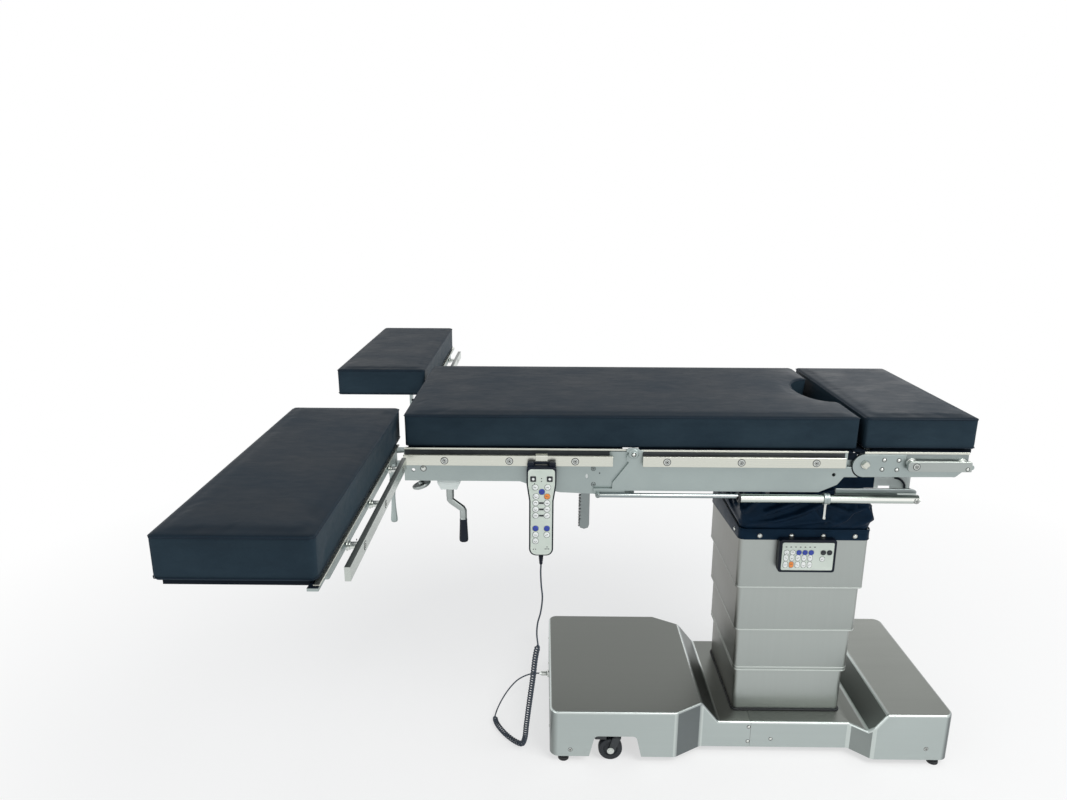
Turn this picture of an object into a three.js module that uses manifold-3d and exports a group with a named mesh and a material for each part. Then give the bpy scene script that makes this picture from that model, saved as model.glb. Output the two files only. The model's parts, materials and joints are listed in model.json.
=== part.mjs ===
// Electro-hydraulic operating table with a split leg end, a sliding top and a wired hand control.
// Millimetres. X runs along the top towards its head end, Y across it, Z up. The column stands on
// X = 0, Y = 0 and the floor is Z = 0. The finished group is moved so that its origin lies under
// the middle of the table's box.
import * as THREE from "three";
import * as BufferGeometryUtils from "three/addons/utils/BufferGeometryUtils.js";
import Module from "manifold-3d";

const wasm = await Module();
wasm.setup();

// Fits
const seat = 0.3; // gap between pieces that rest on each other
const running = 0.5; // gap between pieces that move on each other
const overrun = 6; // how far a cutting shape passes what it cuts
const bite = 1; // how far shapes that are joined run into each other

// Facets
const roundSides = 12;
const rodSides = 8;
const keySides = 6;
const cornerSteps = 2;
const padSideSteps = 2;
const notchSteps = 10;
const bendSteps = 12;
const bellowsRows = 12;
const bellowsSideSteps = 1;

// Base: two sheet-metal covers over a chassis
const floorGap = 18; // under the covers
const blockTop = 153;
const saddleTop = 95;
const coverSheet = 3;
const baseLeft = 649; // from the column's axis to the left end
const baseRight = 410;
const baseHalf = 245;
const waistStep = 45; // how far the waist draws in behind the blocks' sides
const waistHalf = baseHalf - waistStep;
const baseCorner = 25;
const leftChamferStart = 316;
const leftChamferEnd = 239;
const leftSlopeTop = 242;
const leftSlopeFoot = 195;
const rightSlopeFoot = 193;
const rightSlopeTop = 236;
const rightChamferStart = 157;
const rightChamferEnd = 206;
const seamPlace = 107; // the seam between the covers, left of the column's axis
const seamGap = 0.8;
const archHeight = 80; // caster cut-out in the left block
const archFootWidth = 145;
const archTopWidth = 110;

// Casters
const wheelRadius = 32;
const wheelWidth = 22;
const wheelLift = 0.6; // over the floor while the table stands on its feet
const casterTrail = 16;
const casterLeftEnd = 178; // swivel axis, behind the base's left end
const casterLeftSide = 19; // and behind its side
const casterRightEnd = 89;
const casterRightSide = 60;
const casterLeft = baseLeft - casterLeftEnd;
const casterLeftHalf = baseHalf - casterLeftSide;
const casterRight = baseRight - casterRightEnd;
const casterRightHalf = baseHalf - casterRightSide;
const forkPlate = 3;
const forkCrown = 14;
const stemRadius = 7;
const axleRadius = 5;

// Chassis
const beamBottom = 26;
const beamTop = 70;
const beamHalf = 120;
const beamEnd = 14; // inside the covers' ends
const armBottom = 90;
const armThick = 12;
const armWidth = 85;
const footRadius = 11;
const footLeftEnd = 37; // behind the base's left end
const footRightEnd = 34;
const footSide = 17;
const footLeft = baseLeft - footLeftEnd;
const footRight = baseRight - footRightEnd;
const footHalf = baseHalf - footSide;

// Hydraulic unit under the left cover
const unitLength = 140;
const unitHalf = 85;
const unitHeight = 70;
const motorRadius = 30;
const motorLength = 120;
const unitLeft = 404;

// Column covers, from the lowest one that stands on the chassis
const coverWall = 2;
const stageStep = 6.5; // each cover is wider than the one below, on each side
const stageHalfLength = 146;
const stageHalfWidth = 145;
const stageCorner = 12;
const stageOneShow = 124; // visible height of the lowest cover, over the saddle
const stageTwoShow = 126;
const stageThreeShow = 128;
const stageFourHeight = 165;
const stageOneOverlap = 28;
const stageTwoOverlap = 22;
const stageThreeOverlap = 24;
const stageGap = 2;
const stripHeight = 14;
const webThick = 5;
const webTwoDrop = 3; // webs under the tops of covers 2 and 3
const webThreeDrop = 21;

// Lift cylinder: a barrel, two tubes and a ram
const barrelRadius = 45;
const barrelHeight = 176;
const tubeWall = 6;
const tubeOneRadius = 37;
const tubeTwoRadius = 29;
const ramRadius = 21;
const tubeLength = 176;
const ramLength = 176;

// Column head and tilting joint
const headPlate = 12;
const headSink = 40; // column head's underside under the top cover's edge
const earHalf = 45; // inside of the column head's ears
const earThick = 15;
const earRadius = 26;
const tiltRise = 95.5; // of the tilting axes over the top cover's edge
const yokeHalfLength = 42;
const yokeHalfWidth = 38;
const yokeHalfHeight = 20;
const yokePin = 12;
const cradleEarInner = 48;
const cradleEarThick = 14;
const cradleEarHalf = 20;

// Half the mattress's width, which the frames and rails follow
const padHalf = 270;

// Cradle and longitudinal slide
const cradleRise = 50; // underside of the cradle's plate over the tilting axes
const cradlePlate = 12;
const cradlePlateHalf = 135;
const guideSide = 35; // centre of each guide bar inside the mattress's edge
const guideHalf = padHalf - guideSide;
const guideWidth = 18;
const guideHeight = 18;
const guideLeft = 211;
const guideRight = 211;
const slideTubeRadius = 10.5;
const tubeOverhang = 4; // of the side plates over the slide cylinder
const slideTubeBore = 7;
const slideRodRadius = 5.5;
const slideBoltHead = 6;
const slideRodReach = 546;
const slideRodInside = 30;
const slideTubeDrop = 41; // axis of the slide cylinder over the tilting axes
const slideTubeSide = 22; // and outside the mattress's edge
const slideTubeOut = padHalf + slideTubeSide;
const bracketLength = 45;
const lockPlace = 5; // lock lever, left of the column's axis
const lockRing = 13.5;
const lockWidth = 14;
const lockDrop = 52;
const lockRod = 3.5;

// Mattress
const padThick = 77;
const padSeam = 5;
const padWaist = 2.5; // how far the sides draw in between the seams
const padCrown = 3;
const padCorner = 22;
const mainPadLeft = 998;
const mainPadRight = 65;
const foldPlace = 465; // back hinge, left of the column's axis
const foldReach = 90; // half the stretch of mattress that bends
const notchDepth = 73;
const notchHalf = 125;
const headPadGap = 15;
const headPadLength = 260;
const legPadWidth = 255;
const legPadLength = 736;
const legPadThick = 76;

// Frame of the top
const boardThick = 8;
const boardInset = 6;
const plateThick = 6;
const seatPlateSide = 12; // inner face of the centre section's side plates, outside the mattress's edge
const backPlateSide = 5;
const seatPlateIn = padHalf + seatPlateSide;
const backPlateIn = padHalf + backPlateSide;
const plateTopDrop = 6; // side plates' top under the mattress
const seatPlateHeight = 95;
const seatPlateLeft = 509;
const seatPlateSlant = 56;
const seatPlateRight = 33;
const backPlateReach = 2; // of the side plates beyond the mattress
const backPlateLeft = mainPadLeft + backPlateReach;
const backPlateShallow = 76;
const backPlateDeep = 110;
const backPlateStep = 727; // where the back plate's lower edge starts to drop
const backPlateFull = 632;
const crossBar = 30;
const hingeDrop = 20; // back hinge's axis under the mattress
const hingeRadius = 9;

// Side rails
const railHeight = 25;
const railThick = 10;
const railSide = 25; // inner face of the rails, outside the mattress's edge
const railOut = padHalf + railSide;
const railDrop = 11; // top of the rails under the mattress
const studRadius = 6;
const backRailLeft = mainPadLeft;
const backRailRight = 510;
const seatRailLeft = 441;
const seatRailRight = 29;
const headRailLeft = 172;
const headRailRight = 320;
const headRailDrop = 18;

// Kidney bridge, its rack and its crank
const bridgePlace = 571.5;
const bridgeWidth = 28;
const bridgeThick = 14;
const rackWidth = 25;
const rackThick = 10;
const rackSide = 20; // rack, crank and knob, inside the mattress's edge
const rackOut = padHalf - rackSide;
const rackDrop = 214; // bottom of the rack under the mattress
const rackPitch = 9;
const toothDepth = 3.5;
const guideBlock = 12;
const guideBlockHeight = 30;
const guideBlockTop = 45; // under the side plates' top edge
const crankEnd = 101; // behind the mattress's end
const crankPlace = mainPadLeft - crankEnd;
const crankOut = rackOut;
const housingLength = 55;
const housingHeight = 17;
const housingDepth = 44;
const housingDrop = 107;
const crankShaft = 9;
const crankShaftLength = 18;
const crankDrop = 50;
const crankThrow = 31;
const crankTube = 7;
const crankStub = 6; // its end inside the housing
const gripRadius = 11;
const gripLength = 61;
const handleTube = 33;

// Clamp knob at the back section's end
const knobEnd = 32; // behind the mattress's end
const knobPlace = mainPadLeft - knobEnd;
const knobOut = rackOut;
const knobLength = 46;
const knobWidth = 24;
const knobHeight = 20;
const knobStem = 6;
const knobDrop = 113;

// Head section
const headPivotPlace = 79;
const headPivotDrop = 29;
const headDisc = 26;
const headBolt = 10;
const headBoltStand = 2; // bolt head's place over the disc
const headPlateHeight = 56;
const headPlateDrop = 7;
const headPlateRight = 318;
const headPlateChamfer = 24;
const headBoardLeft = 103;
const headBoardRight = 334;

// Leg sections
const legPivotReach = 49.5; // beyond the main mattress's end
const legPivotPlace = mainPadLeft + legPivotReach;
const legPivotSide = 35.5; // inside the mattress's edge
const legPivotOut = padHalf - legPivotSide;
const legPadGap = 22;
const legPadRight = mainPadLeft + legPadGap;
const legPadSide = 63; // inner edge of the leg pads, inside the mattress's edge
const legPadInner = padHalf - legPadSide;
const legPivotDrop = 40;
const legHub = 18;
const legLeafEdge = 1; // bracket leaves' edge beyond the hub
const legCheekEdge = 2; // cheeks' edge beyond the tongue
const legHubHeight = 28;
const legFold = 36; // fold axis beyond the spread pivot
const legTongueHalf = 12;
const legCheekIn = 20.5;
const legPinRadius = 8;
const legPlateHeight = 27;
const legPlateReach = 615; // length of the leg's side plate beyond the fold axis
const legRailOffset = 33; // of the rail beyond the side plate
const legRailStart = 75;
const legRailLength = 540;
const legBoardInset = 13;
const leverThick = 9;
const leverBlock = 34;
const leverLength = 138;

// Hand control
const handsetPlace = 676;
const handsetWidth = 70;
const handsetWaist = 58;
const handsetHeight = 222;
const handsetDepth = 24;
const handsetDrop = 29; // its top under the mattress
const handsetGrip = 42; // depth of its wide upper part
const keyRadius = 7.2;
const keyColumn = 13.2; // of the main key columns from the middle
const keyRow = 15.8;
const keyRise = 1.2;
const keypadThick = 1;
const reliefLength = 27;
const reliefRadius = 6;
const hookThick = 2;

// Control panel on the column
const panelWidth = 145;
const panelHeight = 90;
const panelDepth = 20;
const panelPlace = 3.5;
const panelDrop = 20; // its top under the top cover's band edge
const panelBezel = 6;
const panelTab = 16;
const panelKey = 5.5;

// Bellows and the band that clamps it
const bandHeight = 30;
const bandThick = 2;
const bandSag = 48; // how much lower the band hangs on the far side
const bellowsWall = 2;
const bellowsFold = 7;
const bellowsFolds = 3;
const snapRadius = 5;
const snapRise = 1;

// Cord
const cordRadius = 2;
const curlRadius = 5.6; // of the cord's middle about the curly part's axis
const cordStepShare = 3; // length of a step over the cord's diameter
const curlCount = 62;
const curlSteps = 8;
const curlSides = 5;
const plugRadius = 7;
const plugLength = 24;
const socketRadius = 11;
const socketThick = 5;
const socketPlace = 24;
const socketHeight = 88;

// Heights that follow from the sizes above
const columnFoot = beamTop + seat;
const stageOneTop = saddleTop + stageOneShow + stageOneOverlap;
const stageTwoBottom = saddleTop + stageOneShow + stageGap;
const stageTwoTop = stageTwoBottom + stageTwoShow - stageGap + stageTwoOverlap;
const stageThreeBottom = stageTwoBottom + stageTwoShow;
const stageThreeTop = stageThreeBottom + stageThreeShow - stageGap + stageThreeOverlap;
const stageFourBottom = stageThreeBottom + stageThreeShow;
const coverEdge = stageFourBottom + stageFourHeight;
const tiltHeight = coverEdge + tiltRise;
const cradleBottom = tiltHeight + cradleRise;
const guideBottom = cradleBottom + cradlePlate;
const guideTop = guideBottom + guideHeight;
const slideTubeHeight = tiltHeight + slideTubeDrop;
const seatPlateBottom = slideTubeHeight + slideTubeRadius + tubeOverhang;
const seatPlateTop = seatPlateBottom + seatPlateHeight;
const padBottom = seatPlateTop + plateTopDrop;
const boardTop = padBottom - seat;
const boardBottom = boardTop - boardThick;
const hingeHeight = padBottom - hingeDrop;
const railTop = padBottom - railDrop;
const stageFourLength = stageHalfLength + 3 * stageStep;
const stageFourWidth = stageHalfWidth + 3 * stageStep;

// Materials
function metal(color, roughness) {
  return new THREE.MeshStandardMaterial({ color, roughness, metalness: 1 });
}

function dull(color, roughness) {
  return new THREE.MeshStandardMaterial({ color, roughness, metalness: 0 });
}

const brushedSteel = () => metal(0xa0a5a3, 0.42);
const satinAluminium = () => metal(0x9aa5a5, 0.45);
const brightSteel = () => metal(0xc8c8c2, 0.25);
const chassisPaint = () => dull(0x3b3f42, 0.6);
const upholstery = () => dull(0x2d353c, 0.5);
const blackCloth = () => dull(0x14171c, 0.75);
const blackPlastic = () => dull(0x1b2026, 0.5);
const palePlastic = () => dull(0xd3dbd3, 0.45);
const blackRubber = () => dull(0x17191b, 0.8);

// Shapes
function solidOf(geometry) {
  const plain = new THREE.BufferGeometry();
  plain.setAttribute("position", geometry.attributes.position);
  if (geometry.index) plain.setIndex(geometry.index);
  const merged = BufferGeometryUtils.mergeVertices(plain);
  return new wasm.Manifold(
    new wasm.Mesh({
      numProp: 3,
      vertProperties: new Float32Array(merged.attributes.position.array),
      triVerts: new Uint32Array(merged.index.array),
    }),
  );
}

function geometryOf(solid) {
  const mesh = solid.getMesh();
  const geometry = new THREE.BufferGeometry();
  geometry.setAttribute("position", new THREE.BufferAttribute(mesh.vertProperties, mesh.numProp));
  geometry.setIndex(new THREE.BufferAttribute(mesh.triVerts, 1));
  return geometry;
}

function join(...solids) {
  return solids.reduce((whole, solid) => whole.add(solid));
}

function cut(whole, ...tools) {
  return tools.reduce((left, tool) => left.subtract(tool), whole);
}

// A block between two limits along each axis
function block(x, y, z) {
  const geometry = new THREE.BoxGeometry(x[1] - x[0], y[1] - y[0], z[1] - z[0]);
  geometry.translate((x[0] + x[1]) / 2, (y[0] + y[1]) / 2, (z[0] + z[1]) / 2);
  return solidOf(geometry);
}

// Directions of a drawing's right, up and depth for each axis it is extruded along
const drawingAxes = {
  x: [new THREE.Vector3(0, 1, 0), new THREE.Vector3(0, 0, 1), new THREE.Vector3(1, 0, 0)],
  y: [new THREE.Vector3(1, 0, 0), new THREE.Vector3(0, 0, 1), new THREE.Vector3(0, -1, 0)],
  z: [new THREE.Vector3(1, 0, 0), new THREE.Vector3(0, 1, 0), new THREE.Vector3(0, 0, 1)],
};

// An outline whose corners [x, y, radius] are rounded where a radius is given
function outline(corners) {
  const shape = new THREE.Shape();
  corners.forEach(([x, y, radius = 0], i) => {
    const corner = new THREE.Vector2(x, y);
    const before = new THREE.Vector2(...corners.at(i - 1).slice(0, 2)).sub(corner).normalize();
    const after = new THREE.Vector2(...corners[(i + 1) % corners.length].slice(0, 2)).sub(corner);
    after.normalize();
    const turn = Math.abs(before.angleTo(after));
    const reach = radius / Math.tan(turn / 2);
    const start = corner.clone().addScaledVector(before, reach);
    const end = corner.clone().addScaledVector(after, reach);
    if (i === 0) shape.moveTo(start.x, start.y);
    else shape.lineTo(start.x, start.y);
    if (radius > 0) shape.quadraticCurveTo(x, y, end.x, end.y);
  });
  shape.closePath();
  return shape;
}

// A shape extruded along an axis between two limits
function slab(shape, axis, [low, high]) {
  const geometry = new THREE.ExtrudeGeometry(shape, {
    depth: high - low,
    bevelEnabled: false,
    curveSegments: cornerSteps,
    steps: 1,
  });
  const basis = new THREE.Matrix4().makeBasis(...drawingAxes[axis]);
  geometry.applyMatrix4(basis);
  const shift = drawingAxes[axis][2].clone().multiplyScalar(axis === "y" ? -high : low);
  geometry.translate(shift.x, shift.y, shift.z);
  return solidOf(geometry);
}

// A round bar or disc along an axis; at gives its place on the other two axes in X, Y, Z order
function round(axis, radius, [low, high], at, sides = rodSides, endRadius = radius) {
  const geometry = new THREE.CylinderGeometry(endRadius, radius, high - low, sides);
  const middle = (low + high) / 2;
  if (axis === "x") {
    geometry.rotateZ(-Math.PI / 2);
    geometry.translate(middle, at[0], at[1]);
  } else if (axis === "y") {
    geometry.translate(at[0], middle, at[1]);
  } else {
    geometry.rotateX(Math.PI / 2);
    geometry.translate(at[0], at[1], middle);
  }
  return solidOf(geometry);
}

// The same shape on the other side of the table's centre line
function mirrored(solid) {
  const geometry = geometryOf(solid).scale(1, -1, 1);
  const order = geometry.index.array;
  for (let i = 0; i < order.length; i += 3) {
    [order[i], order[i + 1]] = [order[i + 1], order[i]];
  }
  return solidOf(geometry);
}

function bothSides(solid) {
  return join(solid, mirrored(solid));
}

// A smooth tube through points
function tubeThrough(points, radius, sides, steps) {
  const curve = new THREE.CatmullRomCurve3(points.map((p) => new THREE.Vector3(...p)));
  const section = new THREE.Shape();
  for (let i = 0; i < sides; i += 1) {
    const angle = (2 * Math.PI * i) / sides;
    const x = radius * Math.cos(angle);
    const y = radius * Math.sin(angle);
    if (i === 0) section.moveTo(x, y);
    else section.lineTo(x, y);
  }
  section.closePath();
  return new THREE.ExtrudeGeometry(section, { steps, bevelEnabled: false, extrudePath: curve });
}

// Points round a rectangle with rounded corners
function roundedRing(halfLength, halfWidth, corner, sideSteps) {
  const points = [];
  const centres = [
    [halfLength - corner, halfWidth - corner, 0],
    [corner - halfLength, halfWidth - corner, 1],
    [corner - halfLength, corner - halfWidth, 2],
    [halfLength - corner, corner - halfWidth, 3],
  ];
  centres.forEach(([x, y, quarter], i) => {
    const arc = [];
    for (let k = 0; k <= cornerSteps; k += 1) {
      const angle = ((quarter + k / cornerSteps) * Math.PI) / 2;
      arc.push([x + corner * Math.cos(angle), y + corner * Math.sin(angle)]);
    }
    points.push(...arc);
    const next = centres[(i + 1) % centres.length];
    const nextAngle = (next[2] * Math.PI) / 2;
    const goal = [next[0] + corner * Math.cos(nextAngle), next[1] + corner * Math.sin(nextAngle)];
    const from = arc.at(-1);
    for (let k = 1; k < sideSteps; k += 1) {
      const share = k / sideSteps;
      points.push([from[0] + (goal[0] - from[0]) * share, from[1] + (goal[1] - from[1]) * share]);
    }
  });
  return points;
}

// A closed solid from rings of equally many points; bands between rings, flat lids on the ends
function loft(rings, closed = false) {
  const count = rings[0].length;
  const positions = rings.flat(2);
  const index = [];
  const last = closed ? rings.length : rings.length - 1;
  for (let r = 0; r < last; r += 1) {
    const low = r * count;
    const high = ((r + 1) % rings.length) * count;
    for (let i = 0; i < count; i += 1) {
      const j = (i + 1) % count;
      index.push(low + i, low + j, high + j, low + i, high + j, high + i);
    }
  }
  if (!closed) {
    const lid = (ring) => THREE.ShapeUtils.triangulateShape(
      ring.map((p) => new THREE.Vector2(p[0], p[1])), []);
    lid(rings[0]).forEach(([a, b, c]) => index.push(a, c, b));
    const top = (rings.length - 1) * count;
    lid(rings.at(-1)).forEach(([a, b, c]) => index.push(top + a, top + b, top + c));
  }
  const geometry = new THREE.BufferGeometry();
  geometry.setAttribute("position", new THREE.Float32BufferAttribute(positions, 3));
  geometry.setIndex(index);
  return geometry;
}

// An outline's points moved inwards by a distance
function drawnIn(points, inset) {
  return points.map(([x, y], i) => {
    const [ax, ay] = points.at(i - 1);
    const [bx, by] = points[(i + 1) % points.length];
    const along = new THREE.Vector2(bx - ax, by - ay).normalize();
    return [x - along.y * inset, y + along.x * inset];
  });
}

// Upholstered pad: sides drawn in between two seams, edges rolled over and a crowned top
function cushion(points, bottom, thickness) {
  const top = bottom + thickness;
  const levels = [
    [padSeam, bottom],
    [0, bottom + padSeam],
    [padWaist, bottom + thickness / 2],
    [0, top - padCrown - padSeam],
    [padSeam, top - padCrown],
    [3 * padSeam, top],
  ];
  return solidOf(loft(levels.map(([inset, z]) => drawnIn(points, inset).map(([x, y]) => [x, y, z]))));
}

function padOutline([left, right], [near, far]) {
  const ring = roundedRing((right - left) / 2, (far - near) / 2, padCorner, padSideSteps);
  return ring.map(([x, y]) => [x + (left + right) / 2, y + (near + far) / 2]);
}

// The main pad's outline ends in a notch shaped as half an ellipse
function mainPadOutline() {
  const notch = [];
  for (let i = 0; i <= notchSteps; i += 1) {
    const angle = -Math.PI / 2 + (Math.PI * i) / notchSteps;
    notch.push([mainPadRight - notchDepth * Math.cos(angle), notchHalf * Math.sin(angle)]);
  }
  const ring = padOutline([-mainPadLeft, mainPadRight], [-padHalf, padHalf]);
  const isRightEnd = ([x, y]) => x > mainPadRight - padSeam / 2 && Math.abs(y) < notchHalf;
  const rest = ring.filter((p) => !isRightEnd(p));
  const gap = rest.findIndex((p, i) => {
    const next = rest[(i + 1) % rest.length];
    return p[1] < -notchHalf && next[1] > notchHalf && p[0] > 0;
  });
  rest.splice(gap + 1, 0, ...notch);
  return rest;
}

// Named pieces in the table's group
const table = new THREE.Group();
const cordNames = [];

function place(name, shape, material) {
  const geometry = shape.isBufferGeometry ? shape : geometryOf(shape);
  const mesh = new THREE.Mesh(geometry, material);
  mesh.name = name;
  table.add(mesh);
  return mesh;
}

// Base covers: one solid body of the base, drawn in by a wall for its inside
function baseBody(inset) {
  const left = -baseLeft + inset;
  const right = baseRight - inset;
  const wide = baseHalf - inset;
  const waist = waistHalf - inset;
  const plan = outline([
    [left, -wide, baseCorner],
    [-leftChamferStart - inset, -wide],
    [-leftChamferEnd - inset, -waist],
    [rightChamferStart + inset, -waist],
    [rightChamferEnd + inset, -wide],
    [right, -wide, baseCorner],
    [right, wide, baseCorner],
    [rightChamferEnd + inset, wide],
    [rightChamferStart + inset, waist],
    [-leftChamferEnd - inset, waist],
    [-leftChamferStart - inset, wide],
    [left, wide, baseCorner],
  ]);
  const bottom = inset ? floorGap - overrun : floorGap;
  const profile = outline([
    [left - overrun, bottom],
    [right + overrun, bottom],
    [right + overrun, blockTop - inset],
    [rightSlopeTop + inset, blockTop - inset],
    [rightSlopeFoot + inset, saddleTop - inset],
    [-leftSlopeFoot - inset, saddleTop - inset],
    [-leftSlopeTop - inset, blockTop - inset],
    [left - overrun, blockTop - inset],
  ]);
  const flat = slab(plan, "z", [bottom, blockTop + overrun]);
  return flat.intersect(slab(profile, "y", [-baseHalf - overrun, baseHalf + overrun]));
}

function casterArch() {
  const middle = -casterLeft - casterTrail / 4;
  const shape = outline([
    [middle - archFootWidth / 2, floorGap - overrun],
    [middle + archFootWidth / 2, floorGap - overrun],
    [middle + archTopWidth / 2, archHeight, stageCorner],
    [middle - archTopWidth / 2, archHeight, stageCorner],
  ]);
  return bothSides(slab(shape, "y", [-baseHalf - overrun, -baseHalf + coverSheet + overrun]));
}

function baseCovers() {
  const length = stageHalfLength + running;
  const width = stageHalfWidth + running;
  const hole = block([-length, length], [-width, width], [saddleTop - overrun, saddleTop + overrun]);
  const socketHole = round(
    "x", plugRadius + running, [-baseLeft - overrun, -baseLeft + coverSheet + overrun],
    [socketPlace, socketHeight], roundSides);
  const shell = cut(baseBody(0), baseBody(coverSheet), hole, casterArch(), socketHole);
  const seam = -seamPlace;
  const wide = baseHalf + overrun;
  const high = [0, blockTop + overrun];
  const leftSide = block([-baseLeft - overrun, seam - seamGap / 2], [-wide, wide], high);
  const rightSide = block([seam + seamGap / 2, baseRight + overrun], [-wide, wide], high);
  place("base_cover_left", shell.intersect(leftSide), brushedSteel());
  place("base_cover_right", shell.intersect(rightSide), brushedSteel());
}

// Chassis: a beam, arms over the casters and four rubber-shod feet
function chassis() {
  const left = -baseLeft + coverSheet + beamEnd;
  const right = baseRight - coverSheet - beamEnd;
  const beam = block([left, right], [-beamHalf, beamHalf], [beamBottom, beamTop]);
  const armTop = armBottom + armThick;
  const armEnd = baseHalf - coverSheet - beamEnd / 2;
  const arms = [-casterLeft, casterRight].flatMap((x) => {
    const reach = [x - armWidth / 2, x + armWidth / 2];
    return [
      block(reach, [-armEnd, armEnd], [armBottom, armTop]),
      block(reach, [-beamHalf, beamHalf], [beamTop - overrun, armBottom + overrun]),
    ];
  });
  const feet = [-footLeft, footRight].flatMap((x) => {
    const toArm = x < 0 ? [x - footRadius, -casterLeft] : [casterRight, x + footRadius];
    const bar = [footHalf - 2 * footRadius, footHalf + footRadius];
    return [-1, 1].flatMap((side) => [
      round("z", footRadius, [0, floorGap], [x, side * footHalf], rodSides),
      round("z", footRadius * 0.7, [floorGap / 2, armTop - armThick / 2], [x, side * footHalf]),
      block(toArm, side < 0 ? [-bar[1], -bar[0]] : bar, [armBottom, armTop]),
    ]);
  });
  const holes = [
    [-casterLeft, casterLeftHalf],
    [casterRight, casterRightHalf],
  ].flatMap(([x, y]) => [-y, y].map((side) => round(
    "z", stemRadius + running, [armBottom - overrun, armTop + overrun], [x, side], roundSides)));
  place("base_chassis", cut(join(beam, ...arms, ...feet), ...holes), chassisPaint());
}

function powerUnit() {
  const left = -unitLeft;
  const bottom = beamTop + seat;
  const tank = block([left, left + unitLength], [-unitHalf, 0], [bottom, bottom + unitHeight]);
  const motor = round(
    "x", motorRadius, [left, left + motorLength],
    [unitHalf / 2, bottom + motorRadius + headPlate], roundSides);
  const foot = block(
    [left, left + motorLength], [-unitHalf, unitHalf], [bottom, bottom + headPlate + overrun]);
  place("hydraulic_unit", join(tank, motor, foot), chassisPaint());
}

// Casters: a fork that swivels in the chassis arm and a wheel that turns in the fork
function caster(name, x, y, towards) {
  const axle = wheelRadius + wheelLift;
  const wheelX = x + towards * casterTrail;
  const crown = axle + wheelRadius + forkPlate;
  const inner = wheelWidth / 2 + running;
  const cheek = (side) => {
    const shape = outline([
      [wheelX - forkCrown * 0.6, axle - forkCrown * 0.6],
      [wheelX + forkCrown * 0.6, axle - forkCrown * 0.6],
      [x + forkCrown * 0.8, crown + forkPlate],
      [x - forkCrown * 0.8, crown + forkPlate],
    ]);
    const near = side < 0 ? y - inner - forkPlate : y + inner;
    return slab(shape, "y", [near, near + forkPlate]);
  };
  const plate = block(
    [x - forkCrown * 0.8, x + forkCrown * 0.8],
    [y - inner - forkPlate, y + inner + forkPlate],
    [crown, crown + forkPlate]);
  const collar = round("z", forkCrown, [crown, armBottom - running], [x, y], roundSides);
  const stem = round("z", stemRadius, [crown, armBottom + armThick], [x, y], roundSides);
  const pin = round(
    "y", axleRadius - running, [y - inner - 2 * forkPlate, y + inner + 2 * forkPlate],
    [wheelX, axle]);
  place(`caster_fork_${name}`, join(cheek(-1), cheek(1), plate, collar, stem, pin), brightSteel());
  const tyre = round(
    "y", wheelRadius, [y - wheelWidth / 2, y + wheelWidth / 2], [wheelX, axle], roundSides);
  const bore = round(
    "y", axleRadius, [y - wheelWidth, y + wheelWidth], [wheelX, axle], rodSides);
  place(`caster_wheel_${name}`, cut(tyre, bore), blackRubber());
}

function casters() {
  caster("left_near", -casterLeft, -casterLeftHalf, -1);
  caster("left_far", -casterLeft, casterLeftHalf, -1);
  caster("right_near", casterRight, -casterRightHalf, -1);
  caster("right_far", casterRight, casterRightHalf, -1);
}

// Column covers: open-ended sheet sleeves, each guided on the one below by strips at its foot
function sleeve(step, [bottom, top]) {
  const length = stageHalfLength + step * stageStep;
  const width = stageHalfWidth + step * stageStep;
  const ring = (inset) => outline([
    [-length + inset, -width + inset, stageCorner],
    [length - inset, -width + inset, stageCorner],
    [length - inset, width - inset, stageCorner],
    [-length + inset, width - inset, stageCorner],
  ]);
  const outer = slab(ring(0), "z", [bottom, top]);
  return cut(outer, slab(ring(coverWall), "z", [bottom - overrun, top + overrun]));
}

function strips(step, bottom) {
  const length = stageHalfLength + step * stageStep;
  const width = stageHalfWidth + step * stageStep;
  const deep = stageStep - running;
  const half = stageHalfLength / 3;
  const tall = [bottom, bottom + stripHeight];
  return [
    block([-length + coverWall / 2, -length + deep], [-half, half], tall),
    block([length - deep, length - coverWall / 2], [-half, half], tall),
    block([-half, half], [-width + coverWall / 2, -width + deep], tall),
    block([-half, half], [width - deep, width - coverWall / 2], tall),
  ];
}

function pipe(radius, wall, [bottom, top]) {
  const outer = round("z", radius, [bottom, top], [0, 0], roundSides);
  const bore = round("z", radius - wall, [bottom - overrun, top + overrun], [0, 0], roundSides);
  return cut(outer, bore);
}

// A web that carries a cylinder tube in the middle of a sleeve
function web(step, top, tubeRadius) {
  const length = stageHalfLength + step * stageStep - coverWall / 2;
  const arm = 2 * tubeRadius;
  const plate = block([-length, length], [-arm / 2, arm / 2], [top - webThick, top]);
  const hole = round(
    "z", tubeRadius - tubeWall / 2, [top - 2 * webThick, top + webThick], [0, 0], roundSides);
  return cut(plate, hole);
}

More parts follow.
